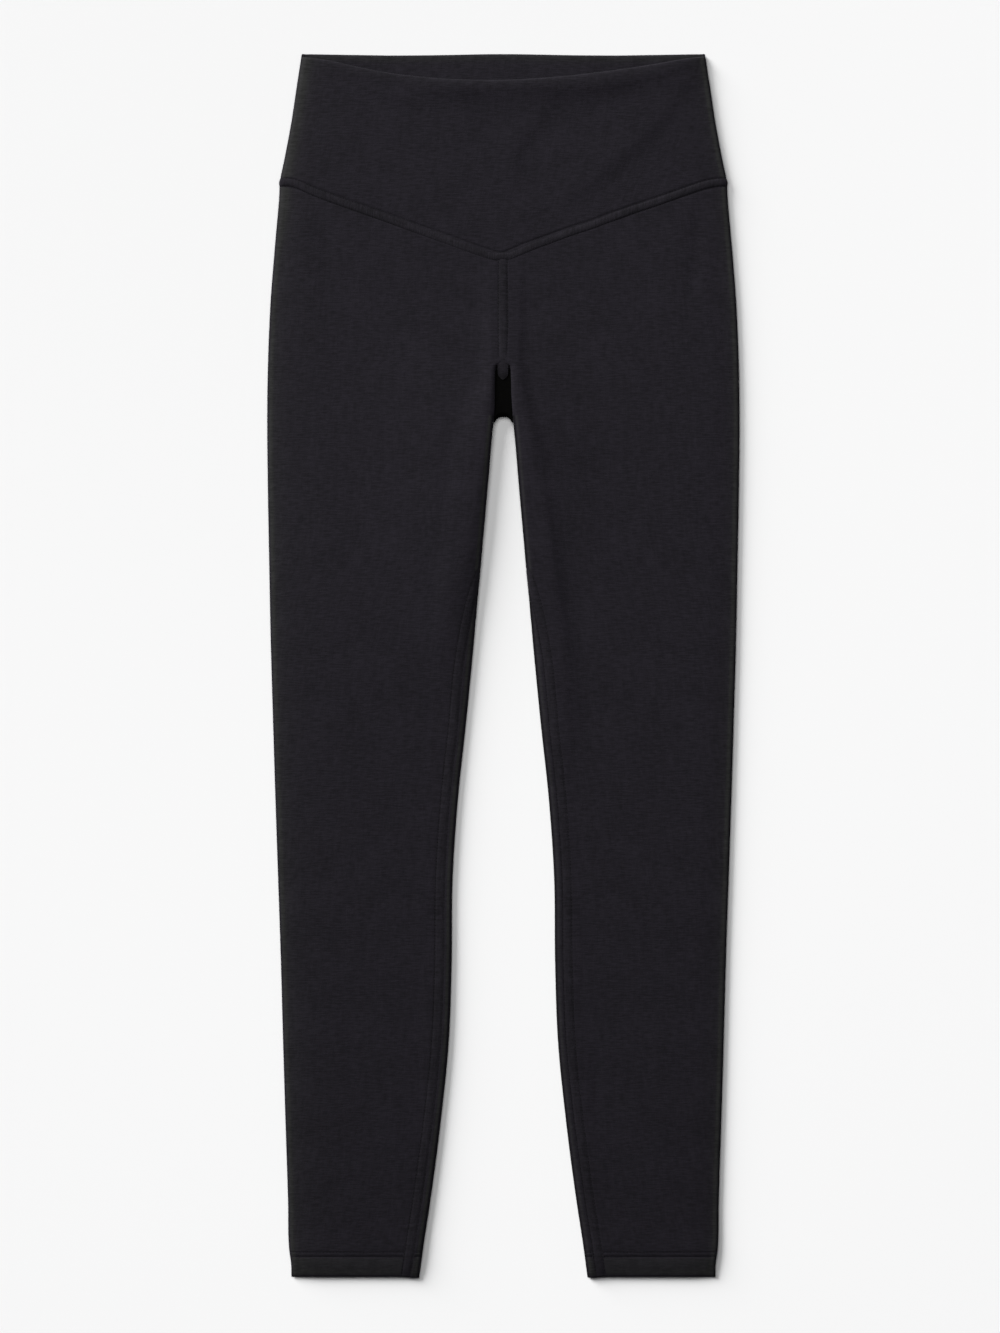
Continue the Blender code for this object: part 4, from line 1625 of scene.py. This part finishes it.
@dataclass
class Gusset:
    """The diamond gusset, folded across at the crotch, its front half under the legs' lips."""

    pattern: Pattern
    flat_cut: Pair = (0.0156, 0.082)
    flat_area: float = 0.00092

    # Half widths at the fold, along the front half and at its end; the fold's dip and drop
    fold: float = 7.4
    lap: float = 7.2
    tip: float = 4.0
    sag: float = 5.5
    drop: float = 0.3

    # Levels of both halves, and from which the front one narrows; the rounding of the edges
    front_levels: Pair = (680.0, 709.0)
    tip_level: float = 705.0
    back_levels: Pair = (680.0, 708.0)
    rim: float = 0.8

    columns: int = 21
    front_rows: int = 16
    fold_rows: int = 19
    back_rows: int = 15

    def build(self) -> Piece:
        """Make the gusset: flat front half, half-round fold with a cubic dip, tapering back."""
        p = self.pattern
        layer = p.leg_wall + p.seam_gap
        top = 2 * layer - p.seam_gap + p.spring(p.crotch)
        bend = top / 2
        centre = p.crotch - self.drop + bend
        share = np.linspace(-1, 1, self.columns)

        front = np.linspace(*self.front_levels[::-1], self.front_rows)
        front_half = np.interp(front, (self.tip_level, self.front_levels[1]),
                               (self.lap, self.tip))
        turn = np.radians(np.linspace(90, -90, self.fold_rows))
        back = np.linspace(*self.back_levels, self.back_rows)
        back_half = p.back_edge(back) - p.seam_gap
        half = np.concatenate([front_half, np.full(len(turn), self.fold), back_half])[:, None]
        across = half * share
        grids = []
        rise = (p.spring(front) - p.spring(p.crotch))[:, None]
        for thick in (0.0, p.leg_wall):
            radius, high, low = bend - thick, top - thick, thick
            fold_height = (centre - self.sag * np.abs(share) ** 3
                           - radius * np.cos(turn)[:, None])
            fold_z = np.repeat(bend + radius * np.sin(turn)[:, None], self.columns, axis=1)
            height = np.concatenate([np.repeat(front[:, None], self.columns, 1), fold_height,
                                     np.repeat(back[:, None], self.columns, 1)])
            z = np.concatenate([np.repeat(high + rise, self.columns, 1), fold_z,
                                np.full((len(back), self.columns), low)])
            grids.append(p.place(across, height, z))
        outer, inner = soften_rims(*grids, half - np.abs(across), self.rim)
        run = girth(outer.transpose(1, 0, 2)).T
        cloth = np.stack([across * MM, run], -1)
        cloth = np.concatenate([cloth, cloth[:, -1:]], axis=1)
        return wall("gusset_cloth", outer, inner, cloth, 1.0, 1.0)


# --- Seams


@dataclass
class Seams:
    """The flatlock seams that join the panels, and their rows of cover stitching.

    Rows are given as their first level, their last level and how many they are.
    """

    pattern: Pattern
    flatlock: Flatlock = Flatlock()
    stitch: Stitch = Stitch()
    hem_stitch: Stitch = Stitch(pitch=2.6, length=2.2, radius=0.18, lift=0.05)

    # The V seam: where it meets the side folds, its columns, and how it stands up there
    yoke_end: float = 853.4
    yoke_turns: Numbers = (0, 5, 11, 18, 26, 35, 45, 56, 68, 80, 90)
    yoke_shoulder: float = 7.0
    yoke_columns: int = 240
    yoke_side: SoftLine = SoftLine(0.5, 0, 5.0)

    # The front rise: its rows, where its level is read, its contrast, its end and its tongue
    tongue_rows: tuple[float, float, int] = (699.5, 712, 24)
    rise_rows: tuple[float, float, int] = (713, 793.5, 64)
    rise_beside: float = 10.5
    rise_stand: float = 0.55
    rise_contrast: float = 0.6
    rise_end: Pair = (795.5, 792.5)
    rise_least: float = 0.2
    rise_stitch_start: float = 706.0
    tongue_least: float = 0.3
    # The tongue's half width, sink and tone; the tone is painted shade on the sunken tongue
    tongue: Table = Table(("half", "sink", "tone"), (
        (699.5, 0.6, 1.6, 0.4), (701, 2.4, 1.5, 0.42), (703, 3.7, 1.3, 0.5),
        (706, 4.0, 0.9, 0.8), (710, 4.1, 0.5, 0.95), (716, 4.2, 0.1, 1), (722, 4.3, 0, 1),
        (800, 4.3, 0, 1)))

    # The inseams, which stand up whole from a clear level
    ankle_rows: tuple[float, float, int] = (1.2, 30, 15)
    inseam_rows: tuple[float, float, int] = (33, 668.5, 200)
    inseam_width: float = 1.14
    inseam_stand: float = 0.38
    inseam_contrast: float = 0.45
    inseam_clear: float = 0.9

    # The hem's stitches: points over each fold and between them
    hem_turns: Numbers = (12, 25, 40, 60, 90)
    hem_inset: float = 6.0
    hem_points: int = 60

    # The back's flush seams
    back_level: float = 0.52
    back_sink: float = 0.1
    back_yoke_inset: float = 3.5
    back_yoke_columns: int = 160
    back_rise_start: float = 713.5
    back_rise_clear: float = 4.0
    back_rise_rows: int = 70

    def rows(self, base: Array, stand: Array, up: int = 1) -> list[Arrays]:
        """Paths of the two stitch rows in a band's furrows.

        Args:
            base: The band's surface points, along by across by 3.
            stand: Heights of the band's face in millimetres.
            up: 1, or -1 where the grid's normals point into the cloth.

        Returns:
            For each row, its points and normals.
        """
        across = self.flatlock.across()
        out = normals(base) * up
        face = base + out * MM * np.asarray(stand)[..., None]
        columns = [int(np.abs(across - s * self.flatlock.furrow).argmin()) for s in (-1, 1)]
        return [(face[:, c], out[:, c]) for c in columns]

    def yoke(self) -> tuple[Piece, Piece]:
        """Make the V seam's band and stitches, from one side fold to the other."""
        p = self.pattern
        insets = arc_insets(p.nose, self.yoke_turns)
        level = p.side(np.array([self.yoke_end]))[0]
        flat = level - self.yoke_shoulder
        across = np.concatenate([insets - level, np.linspace(-flat, flat, self.yoke_columns),
                                 (level - insets)[::-1]])
        slope = np.gradient(p.yoke(across), across)
        offset = self.flatlock.across()
        height = p.yoke(across)[:, None] + offset * np.sqrt(1 + slope ** 2)[:, None]
        inset = level - np.abs(across)[:, None]
        side = p.side(height) - inset
        middle = p.middle(height)
        top = p.loft(height, inset) - p.furrowed(offset)
        z = middle + (top - middle) * quarter(inset, p.nose)
        base = p.place(np.sign(across)[:, None] * side, height, z)
        stand = self.flatlock.stand() * (1 + self.yoke_side.at(inset))
        band = ribbon("yoke_seam", base, stand, self.flatlock.sink, self.flatlock.tone(), -1)
        thread = self.stitch.sew("yoke_stitching", self.rows(base, stand, -1))
        return band, thread

    def rise(self, legs: tuple[Leg, ...]) -> tuple[Piece, Piece]:
        """Make the front rise seam, down to the pointed tongue over the gusset.

        Args:
            legs: Both legs, whose fronts beside it give its level.

        Returns:
            The band and its stitches.
        """
        p = self.pattern
        heights = np.concatenate([np.linspace(*self.tongue_rows), np.linspace(*self.rise_rows)])
        across = self.flatlock.across()
        width = self.tongue.smooth("half", heights)[:, None] / across[-1]
        height = np.repeat(heights[:, None], len(across), axis=1)
        beside = np.full_like(height, self.rise_beside)
        z = sum(leg.front(height, beside, 0.0)[1] for leg in legs) / len(legs)
        z = z - self.tongue.smooth("sink", height)
        z = z - p.rise_furrowed(across, height)
        base = p.place(p.rise_middle + across * width, height, z)
        fade = np.maximum(ramp(heights, *self.rise_end), self.rise_least)[:, None]
        fade = fade * np.clip(width, self.tongue_least, 1)
        stand = self.flatlock.stand() * fade * self.rise_stand
        # Painted shade on the sunken tongue and in the seam's furrows
        tone = self.tongue.smooth("tone", heights)[:, None]
        tone = self.flatlock.tone(self.rise_contrast) * tone
        band = ribbon("rise_seam", base, stand, self.flatlock.sink, tone)
        keep = heights > self.rise_stitch_start
        rows = self.rows(base, stand)
        thread = self.stitch.sew("rise_stitching", [(a[keep], b[keep]) for a, b in rows])
        return band, thread

    def inseam(self, leg: Leg) -> tuple[Piece, Piece]:
        """Make a leg's inseam, from the hem to the crotch.

        Args:
            leg: The leg that it closes.

        Returns:
            The band and its stitches.
        """
        heights = np.concatenate([np.linspace(*self.ankle_rows), np.linspace(*self.inseam_rows)])
        base = leg.seam_base(heights, self.flatlock.across() * self.inseam_width)
        clear = ramp(base[..., 2] / MM, 0, self.inseam_clear)
        stand = self.flatlock.stand() * self.inseam_stand * clear
        name = "inseam_" + leg.side.name.lower()
        band = ribbon(name, base, stand, self.flatlock.sink,
                      self.flatlock.tone(self.inseam_contrast), leg.side.value)
        thread = self.stitch.sew(name + "_stitching", self.rows(base, stand, leg.side.value))
        return band, thread

    def hem(self, leg: Leg) -> Piece:
        """Make the two rows of stitches above a leg's hem, all round.

        Args:
            leg: The leg.

        Returns:
            The stitches.
        """
        p = self.pattern
        rows = []
        for level in p.hem_stitches:
            side, gap = p.side(np.array([level]))[0], p.gap(np.array([level]))[0]
            for beneath in (False, True):
                reach = p.heel if beneath else p.nose
                ends = arc_insets(reach, self.hem_turns)
                flat = np.linspace(gap + self.hem_inset, side - self.hem_inset, self.hem_points)
                across = np.concatenate([gap + ends, flat, side - ends[::-1]])
                height = np.full(len(across), level)
                if beneath:
                    inset = np.minimum(across - gap, side - across)
                    x, z = across, p.middle(height) * (1 - quarter(inset, reach))
                    z = z + leg.groove(height, True) * quarter(inset, reach)
                else:
                    x, z = leg.front(height, across, 0.0)
                    z = z - leg.groove(height)
                path = p.place(leg.side.value * x, height, z)
                out = np.cross(np.gradient(path, axis=0), (0.0, 1.0, 0.0))
                out *= np.where(out[:, 2:3] < 0, -1, 1) * (-1 if beneath else 1)
                rows.append((path, out / np.linalg.norm(out, axis=-1, keepdims=True)))
        return self.hem_stitch.sew(leg.name + "_hem_stitching", rows)

    def back(self) -> tuple[Piece, Piece]:
        """Make the back yoke and back rise seams, pressed flush into the layer below."""
        p = self.pattern
        offset, stand, tone = self.flatlock.across(), self.flatlock.stand(), self.flatlock.tone()
        level = p.side(np.array([p.back_yoke]))[0] - self.back_yoke_inset
        across = np.linspace(-level, level, self.back_yoke_columns)[:, None]
        base = p.place(across, p.back_yoke + offset, self.back_level)
        yoke = ribbon("back_yoke_seam", base, stand, self.back_sink, tone)
        heights = np.linspace(self.back_rise_start, p.back_yoke - self.back_rise_clear,
                              self.back_rise_rows)[:, None]
        base = p.place(offset, heights, self.back_level)
        return yoke, ribbon("back_rise_seam", base, stand, self.back_sink, tone, -1)


# --- Studio


@dataclass(frozen=True)
class Studio:
    """The pale floor, the soft lamps and the camera straight above."""

    # Height of the frame at the level of the cloth's outline, and the camera's place
    frame_height: float = 1.0397
    camera_height: float = 2.6
    camera_centre: Pair = (-0.0026, -0.00075)
    outline_height: float = 0.0015
    sensor: float = 36.0
    clip: Pair = (0.05, 100.0)

    # The floor, the key beyond the waist on the left, the lamp overhead and the sky
    floor_size: float = 40.0
    floor_drop: float = 0.0001
    key_power: float = 8.0
    key_spread: float = 31.0
    key_elevation: float = 17.5
    key_azimuth: float = 137.5
    fill_power: float = 11.7
    fill_size: float = 1.0
    fill_place: tuple[float, float, float] = (-0.16, 0.46, 1.15)
    ambient: float = 0.08
    ambient_colour: tuple[float, float, float, float] = (0.93, 0.94, 0.96, 1)
    floor_roughness: float = 0.9

    # Light that the floor sends back, its palest grey, what the key and the lamp give it, and
    # the lamp's reach
    floor_light: float = 0.93
    floor_limit: float = 0.95
    key_light: float = 0.868
    fill_light: float = 0.724
    fill_reach: float = 1.254

    def camera(self) -> None:
        """Make the camera, whose frame has its height at the level of the outline."""
        data = bpy.data.cameras.new("camera")
        data.sensor_width = self.sensor
        data.lens = self.sensor * (self.camera_height - self.outline_height) / self.frame_height
        data.clip_start, data.clip_end = self.clip
        camera = bpy.data.objects.new("camera", data)
        camera.location = (*self.camera_centre, self.camera_height)
        bpy.context.scene.collection.objects.link(camera)
        bpy.context.scene.camera = camera

    def floor(self) -> None:
        """Make the floor, greyer under the overhead lamp, so that it looks evenly lit.

        Its colour is the wanted light over the sum of what the key and the overhead lamp give;
        the lamp's part falls as the square of reach squared over reach squared plus the squared
        distance from the point below it.
        """
        half = self.floor_size / 2
        corners = np.array([(-half, -half), (half, -half), (half, half), (-half, half)])
        points = np.column_stack([corners, np.full(4, -self.floor_drop)])
        floor = solid("floor", points, np.array([[0, 1, 2, 3]]), corners[None], np.ones(4))
        made = bpy.data.materials.new("pale_floor")
        made.use_nodes = True
        tree = made.node_tree
        shader = tree.nodes["Principled BSDF"]
        shader.inputs["Roughness"].default_value = self.floor_roughness
        shader.inputs["Specular IOR Level"].default_value = 0.0
        place = tree.nodes.new("ShaderNodeTexCoord")
        away = tree.nodes.new("ShaderNodeVectorMath")
        away.operation = "DISTANCE"
        away.inputs[1].default_value = (*self.fill_place[:2], 0)
        tree.links.new(place.outputs["Object"], away.inputs[0])
        square = math_node(tree, "POWER", away.outputs["Value"], 2.0)
        share = math_node(tree, "ADD", square, self.fill_reach ** 2)
        share = math_node(tree, "DIVIDE", self.fill_reach ** 2, share)
        share = math_node(tree, "POWER", share, 2.0)
        lit = math_node(tree, "MULTIPLY", share, self.fill_light)
        lit = math_node(tree, "ADD", lit, self.key_light)
        grey = math_node(tree, "DIVIDE", self.floor_light, lit)
        grey = math_node(tree, "MINIMUM", grey, self.floor_limit)
        tree.links.new(grey, shader.inputs["Base Color"])
        floor.data.materials.append(made)

    def lamps(self) -> None:
        """Make a broad low key from beyond the waist on the left, and an overhead fill."""
        key = bpy.data.lights.new("key", "SUN")
        key.energy, key.angle = self.key_power, math.radians(self.key_spread)
        lamp = bpy.data.objects.new("key", key)
        lamp.rotation_euler = (0, math.radians(90 - self.key_elevation),
                               math.radians(self.key_azimuth))
        fill = bpy.data.lights.new("fill", "AREA")
        fill.energy, fill.shape, fill.size = self.fill_power, "DISK", self.fill_size
        above = bpy.data.objects.new("fill", fill)
        above.location = self.fill_place
        for item in (lamp, above):
            bpy.context.scene.collection.objects.link(item)

    def world(self) -> None:
        """Make a pale world that hardly lights the scene."""
        world = bpy.data.worlds.new("studio")
        world.use_nodes = True
        background = world.node_tree.nodes["Background"]
        background.inputs["Color"].default_value = self.ambient_colour
        background.inputs["Strength"].default_value = self.ambient
        bpy.context.scene.world = world
        bpy.context.scene.view_settings.view_transform = "Standard"

    def build(self) -> None:
        """Make everything round the garment."""
        self.world()
        self.floor()
        self.lamps()
        self.camera()


# --- The garment

THIGH = ("crest", "fall", "lift", "lee", "broad", "reach")
LIP = ("edge", "z", "roll")

LEFT_FOLDS = Table(THIGH, (
    (0, 14, 0, 0, 11, 0, 5), (340, 14, 0, 0, 11, 0, 5), (370, 14, 0, 0, 11, 0, 5),
    (400, 16, 0.2, 0.4, 11, -0.1, 5),
    (434, 19, 0.7, 1.1, 11, -0.3, 5), (466, 20, 0.8, 1.1, 11, -0.2, 5),
    (497, 21, 0.9, 1.5, 11, -0.3, 5), (528, 18, 0.5, 1.5, 11, 0, 5),
    (559, 18.5, 0.3, 1.5, 11, 0.6, 5), (590, 16, 0.3, 1.3, 11, 1.2, 5),
    (629, 13, 0.4, 0.9, 10, 2.2, 5), (660, 9.7, 0.5, 1.2, 9, 2.9, 4.5),
    (671, 7, 0.5, 1.5, 8.5, 2.8, 4), (684, 5, 0.3, 1.9, 8, 2.3, 3.5),
    (690, 4.2, 0.2, 1.9, 7.5, 2, 3.5), (703, 3, 0, 1.5, 6.5, 1.6, 3.5),
    (727, 3, 0, 1.3, 5, 0.8, 4), (746, 4, 0, 0.95, 4.6, 0.4, 5), (770, 4.5, 0, 0.62, 4.4, 0.1, 5),
    (788, 4.5, 0, 0.25, 4.4, 0, 5), (797, 4.5, 0, 0, 4.5, 0, 5), (860, 4.5, 0, 0, 5, 0, 5)))
RIGHT_FOLDS = Table(THIGH, (
    (0, 14, 0, 0, 14, 0, 5), (350, 14, 0, 0, 14, 0, 5), (380, 14, 0, 0, 14, 0, 5),
    (434, 15, 0.8, 0.1, 14, 0.4, 5),
    (466, 19, 1.4, 0.3, 13, 1.1, 5), (497, 20, 2.4, 0.6, 14, 2, 5), (528, 20, 2.9, 0.7, 14, 3, 5),
    (559, 15, 2.5, 0.8, 14, 3.5, 5), (590, 11, 1.9, 0.8, 15, 3.7, 5),
    (629, 8.5, 1.6, 1.3, 18, 3.3, 5), (660, 7.5, 1, 1.7, 14, 2.9, 4.5),
    (671, 6.5, 0.8, 1.9, 12, 2.7, 4), (684, 5, 0.5, 2.1, 10, 2.4, 3.5),
    (703, 1.8, 0, 1.5, 8, 1.6, 3.5), (727, 0.6, 0, 1.3, 8, 0.8, 4), (746, 0.6, 0, 0.95, 8, 0.4, 5),
    (770, 0.6, 0, 0.62, 8, 0.1, 5), (788, 0.6, 0, 0.25, 8, 0, 5), (797, 0.6, 0, 0, 9, 0, 5),
    (860, 0.6, 0, 0, 9, 0, 5)))
LEFT_LIP = Table(LIP, (
    (671, 7.2, 2, 1), (674, 7.2, 3.1, 1), (679, 6.8, 3.1, 1), (690, 6.2, 3.1, 1), (701, 6, 3.1, 1),
    (708, 5.6, 3.2, 0.9), (711, 4.8, 3.3, 0.8), (713.5, 0.15, 3.3, 0.2), (716, 0.15, 3.3, 0),
    (853.6, 0.15, 3.3, 0)))
RIGHT_LIP = Table(LIP, (
    (671, 7.2, 2, 1), (674, 7, 3.1, 1), (679, 6.7, 3.1, 1), (690, 6.5, 3.1, 1), (701, 6.5, 3.1, 1),
    (708, 6.2, 3.2, 0.9), (711, 5.4, 3.3, 0.8), (713.5, 0.15, 3.3, 0.2), (716, 0.15, 3.3, 0),
    (853.6, 0.15, 3.3, 0)))
# Painted highlight on each inner fold's rim, and painted shade on its outermost line
LEFT_FOLD_PAINTED_LIGHT = (SoftLine(0.26, 2.7, 1.4), SoftLine(-0.95, 0.8, 1.0))
RIGHT_FOLD_PAINTED_LIGHT = (SoftLine(0.52, 2.7, 1.4), SoftLine(-0.55, 0.8, 1.0))

LEFT_CREASES = (
    Crease((151, 842), (153, 800), (144, 752), 5.5, -0.55),
    Crease((162, 846), (164, 805), (157, 750), 6.0, 0.1),
    Crease((9, 722), (24, 668), (30, 612), 3.5, 0.35, lee=9.0),
    Crease((28, 628), (41, 558), (50, 478), 3.6, 0.38, lee=9.0),
    Crease((92, 842), (96, 822), (84, 800), 6.0, -0.2),
    Crease((73, 172), (72, 140), (74, 108), 5.0, -0.25),
    Crease((118, 352), (142, 349), (166, 355), 3.5, -0.22),
    Crease((60, 338), (84, 342), (112, 336), 4.0, -0.2),
    Crease((96, 322), (124, 317), (150, 324), 3.2, -0.18),
    Crease((62, 300), (82, 296), (104, 303), 3.6, -0.16),
    Crease((120, 286), (144, 290), (164, 283), 4.0, -0.14),
    Crease((104, 478), (120, 470), (140, 474), 7.0, -0.15),
    Crease((138, 640), (146, 600), (138, 548), 11.0, 0.2),
    Crease((64, 560), (76, 500), (84, 430), 12.0, 0.18),
    Crease((112, 60), (128, 54), (148, 60), 5.0, -0.14),
    Crease((84, 90), (98, 84), (116, 88), 4.5, -0.12),
)
RIGHT_CREASES = (
    Crease((-138, 836), (-139, 800), (-136, 752), 6.5, -0.32),
    Crease((-154, 842), (-158, 800), (-150, 748), 7.0, 0.2),
    Crease((-54, 730), (-58, 650), (-50, 568), 7.5, 0.28),
    Crease((-32, 662), (-43, 560), (-54, 466), 11.0, 0.35, lee=5.0),
    Crease((-56, 286), (-58, 200), (-60, 118), 5.0, 0.22),
    Crease((-47, 372), (-48, 300), (-50, 236), 5.0, -0.22),
    Crease((-56, 366), (-84, 361), (-108, 366), 4.0, -0.2),
    Crease((-110, 348), (-134, 352), (-160, 345), 3.5, -0.22),
    Crease((-70, 330), (-96, 334), (-128, 328), 3.2, -0.16),
    Crease((-120, 310), (-142, 306), (-164, 311), 4.0, -0.15),
    Crease((-60, 296), (-80, 292), (-98, 297), 3.4, -0.14),
    Crease((-100, 500), (-118, 492), (-142, 498), 7.0, -0.14),
    Crease((-132, 655), (-140, 600), (-132, 540), 11.0, 0.2),
    Crease((-106, 76), (-126, 70), (-146, 75), 5.0, -0.14),
    Crease((-76, 98), (-90, 92), (-108, 97), 4.5, -0.12),
)
LEFT_BACK_CREASES = (
    Crease((60, 352), (96, 346), (140, 354), 5.0, 0.35),
    Crease((72, 322), (100, 328), (132, 320), 4.5, 0.3),
    Crease((20, 700), (44, 712), (92, 704), 6.0, 0.35),
    Crease((24, 678), (60, 690), (108, 684), 5.0, 0.25),
    Crease((120, 300), (140, 292), (160, 298), 4.0, 0.25),
)
RIGHT_BACK_CREASES = (
    Crease((-62, 344), (-98, 350), (-138, 342), 5.0, 0.35),
    Crease((-80, 316), (-108, 310), (-140, 318), 4.0, 0.25),
    Crease((-20, 704), (-52, 716), (-98, 706), 6.0, 0.35),
    Crease((-28, 684), (-60, 678), (-90, 688), 5.0, 0.25),
)
BAND_CREASES = (
    Crease((145, 937), (107, 879), (43, 839), 8.5, 0.95, lee=26.0, taper=0.5),
    Crease((-90, 933), (30, 921), (150, 948), 9.0, 2.5, lee=16.0),
    Crease((18, 927), (80, 922), (142, 947), 9.0, 0.8, lee=6.0),
    Crease((-68, 926), (-36, 925), (-2, 927), 8.0, 0.7, lee=7.0),
    Crease((-128, 940), (-102, 937), (-74, 933), 7.0, 0.7, lee=4.5),
    Crease((-118, 931), (-92, 922), (-62, 914), 8.0, 0.6, lee=5.0),
    Crease((42, 918), (0, 886), (6, 852), 8.5, 0.8, lee=16.0),
    Crease((60, 905), (48, 880), (22, 858), 12.0, 0.2),
    Crease((-60, 900), (-66, 880), (-60, 850), 14.0, 0.15),
    Crease((-124, 900), (-112, 872), (-96, 850), 10.0, -0.16),
)


def main() -> None:
    """Build the garment, seam by seam, then the studio, and report each piece."""
    logging.basicConfig(level=logging.INFO, format="%(message)s")
    pattern, wardrobe = Pattern(), Wardrobe()
    seams = Seams(pattern)
    legs = (Leg(pattern, Side.LEFT, LEFT_FOLDS, LEFT_LIP, LEFT_CREASES, LEFT_BACK_CREASES,
                broad=45.0, fold_painted_light=LEFT_FOLD_PAINTED_LIGHT),
            Leg(pattern, Side.RIGHT, RIGHT_FOLDS, RIGHT_LIP, RIGHT_CREASES,
                RIGHT_BACK_CREASES, broad=95.0, fold_painted_light=RIGHT_FOLD_PAINTED_LIGHT))

    for leg in legs:
        cloth = wardrobe.dress(leg.build(), wardrobe.leg, Slot.LEG, (leg.name,))
        band, thread = seams.inseam(leg)
        on_leg = [wardrobe.dress(band, wardrobe.seam, Slot.LEG),
                  wardrobe.dress(thread, wardrobe.thread, Slot.LEG),
                  wardrobe.dress(seams.hem(leg), wardrobe.thread, Slot.LEG)]

    rise, rise_thread = seams.rise(legs)
    yoke, yoke_thread = seams.yoke()
    wardrobe.dress(rise, wardrobe.seam, Slot.LEG)
    wardrobe.dress(rise_thread, wardrobe.thread, Slot.LEG)
    wardrobe.dress(yoke, wardrobe.seam, Slot.BAND)
    wardrobe.dress(yoke_thread, wardrobe.thread, Slot.BAND)
    back_yoke, back_rise = seams.back()
    wardrobe.dress(back_yoke, wardrobe.seam, Slot.BAND)
    wardrobe.dress(back_rise, wardrobe.seam, Slot.LEG)

    waistband = Waistband(pattern, BAND_CREASES)
    back = wardrobe.dress(waistband.back(), wardrobe.band, Slot.BAND, ("waistband_back",))
    front = wardrobe.dress(waistband.front(), wardrobe.band, Slot.BAND, ("waistband_front",))
    gusset = Gusset(pattern)
    diamond = wardrobe.dress(gusset.build(), wardrobe.gusset, Slot.GUSSET, ("gusset",))

    back.name
    Studio().build()


if __name__ == "__main__":
    main()
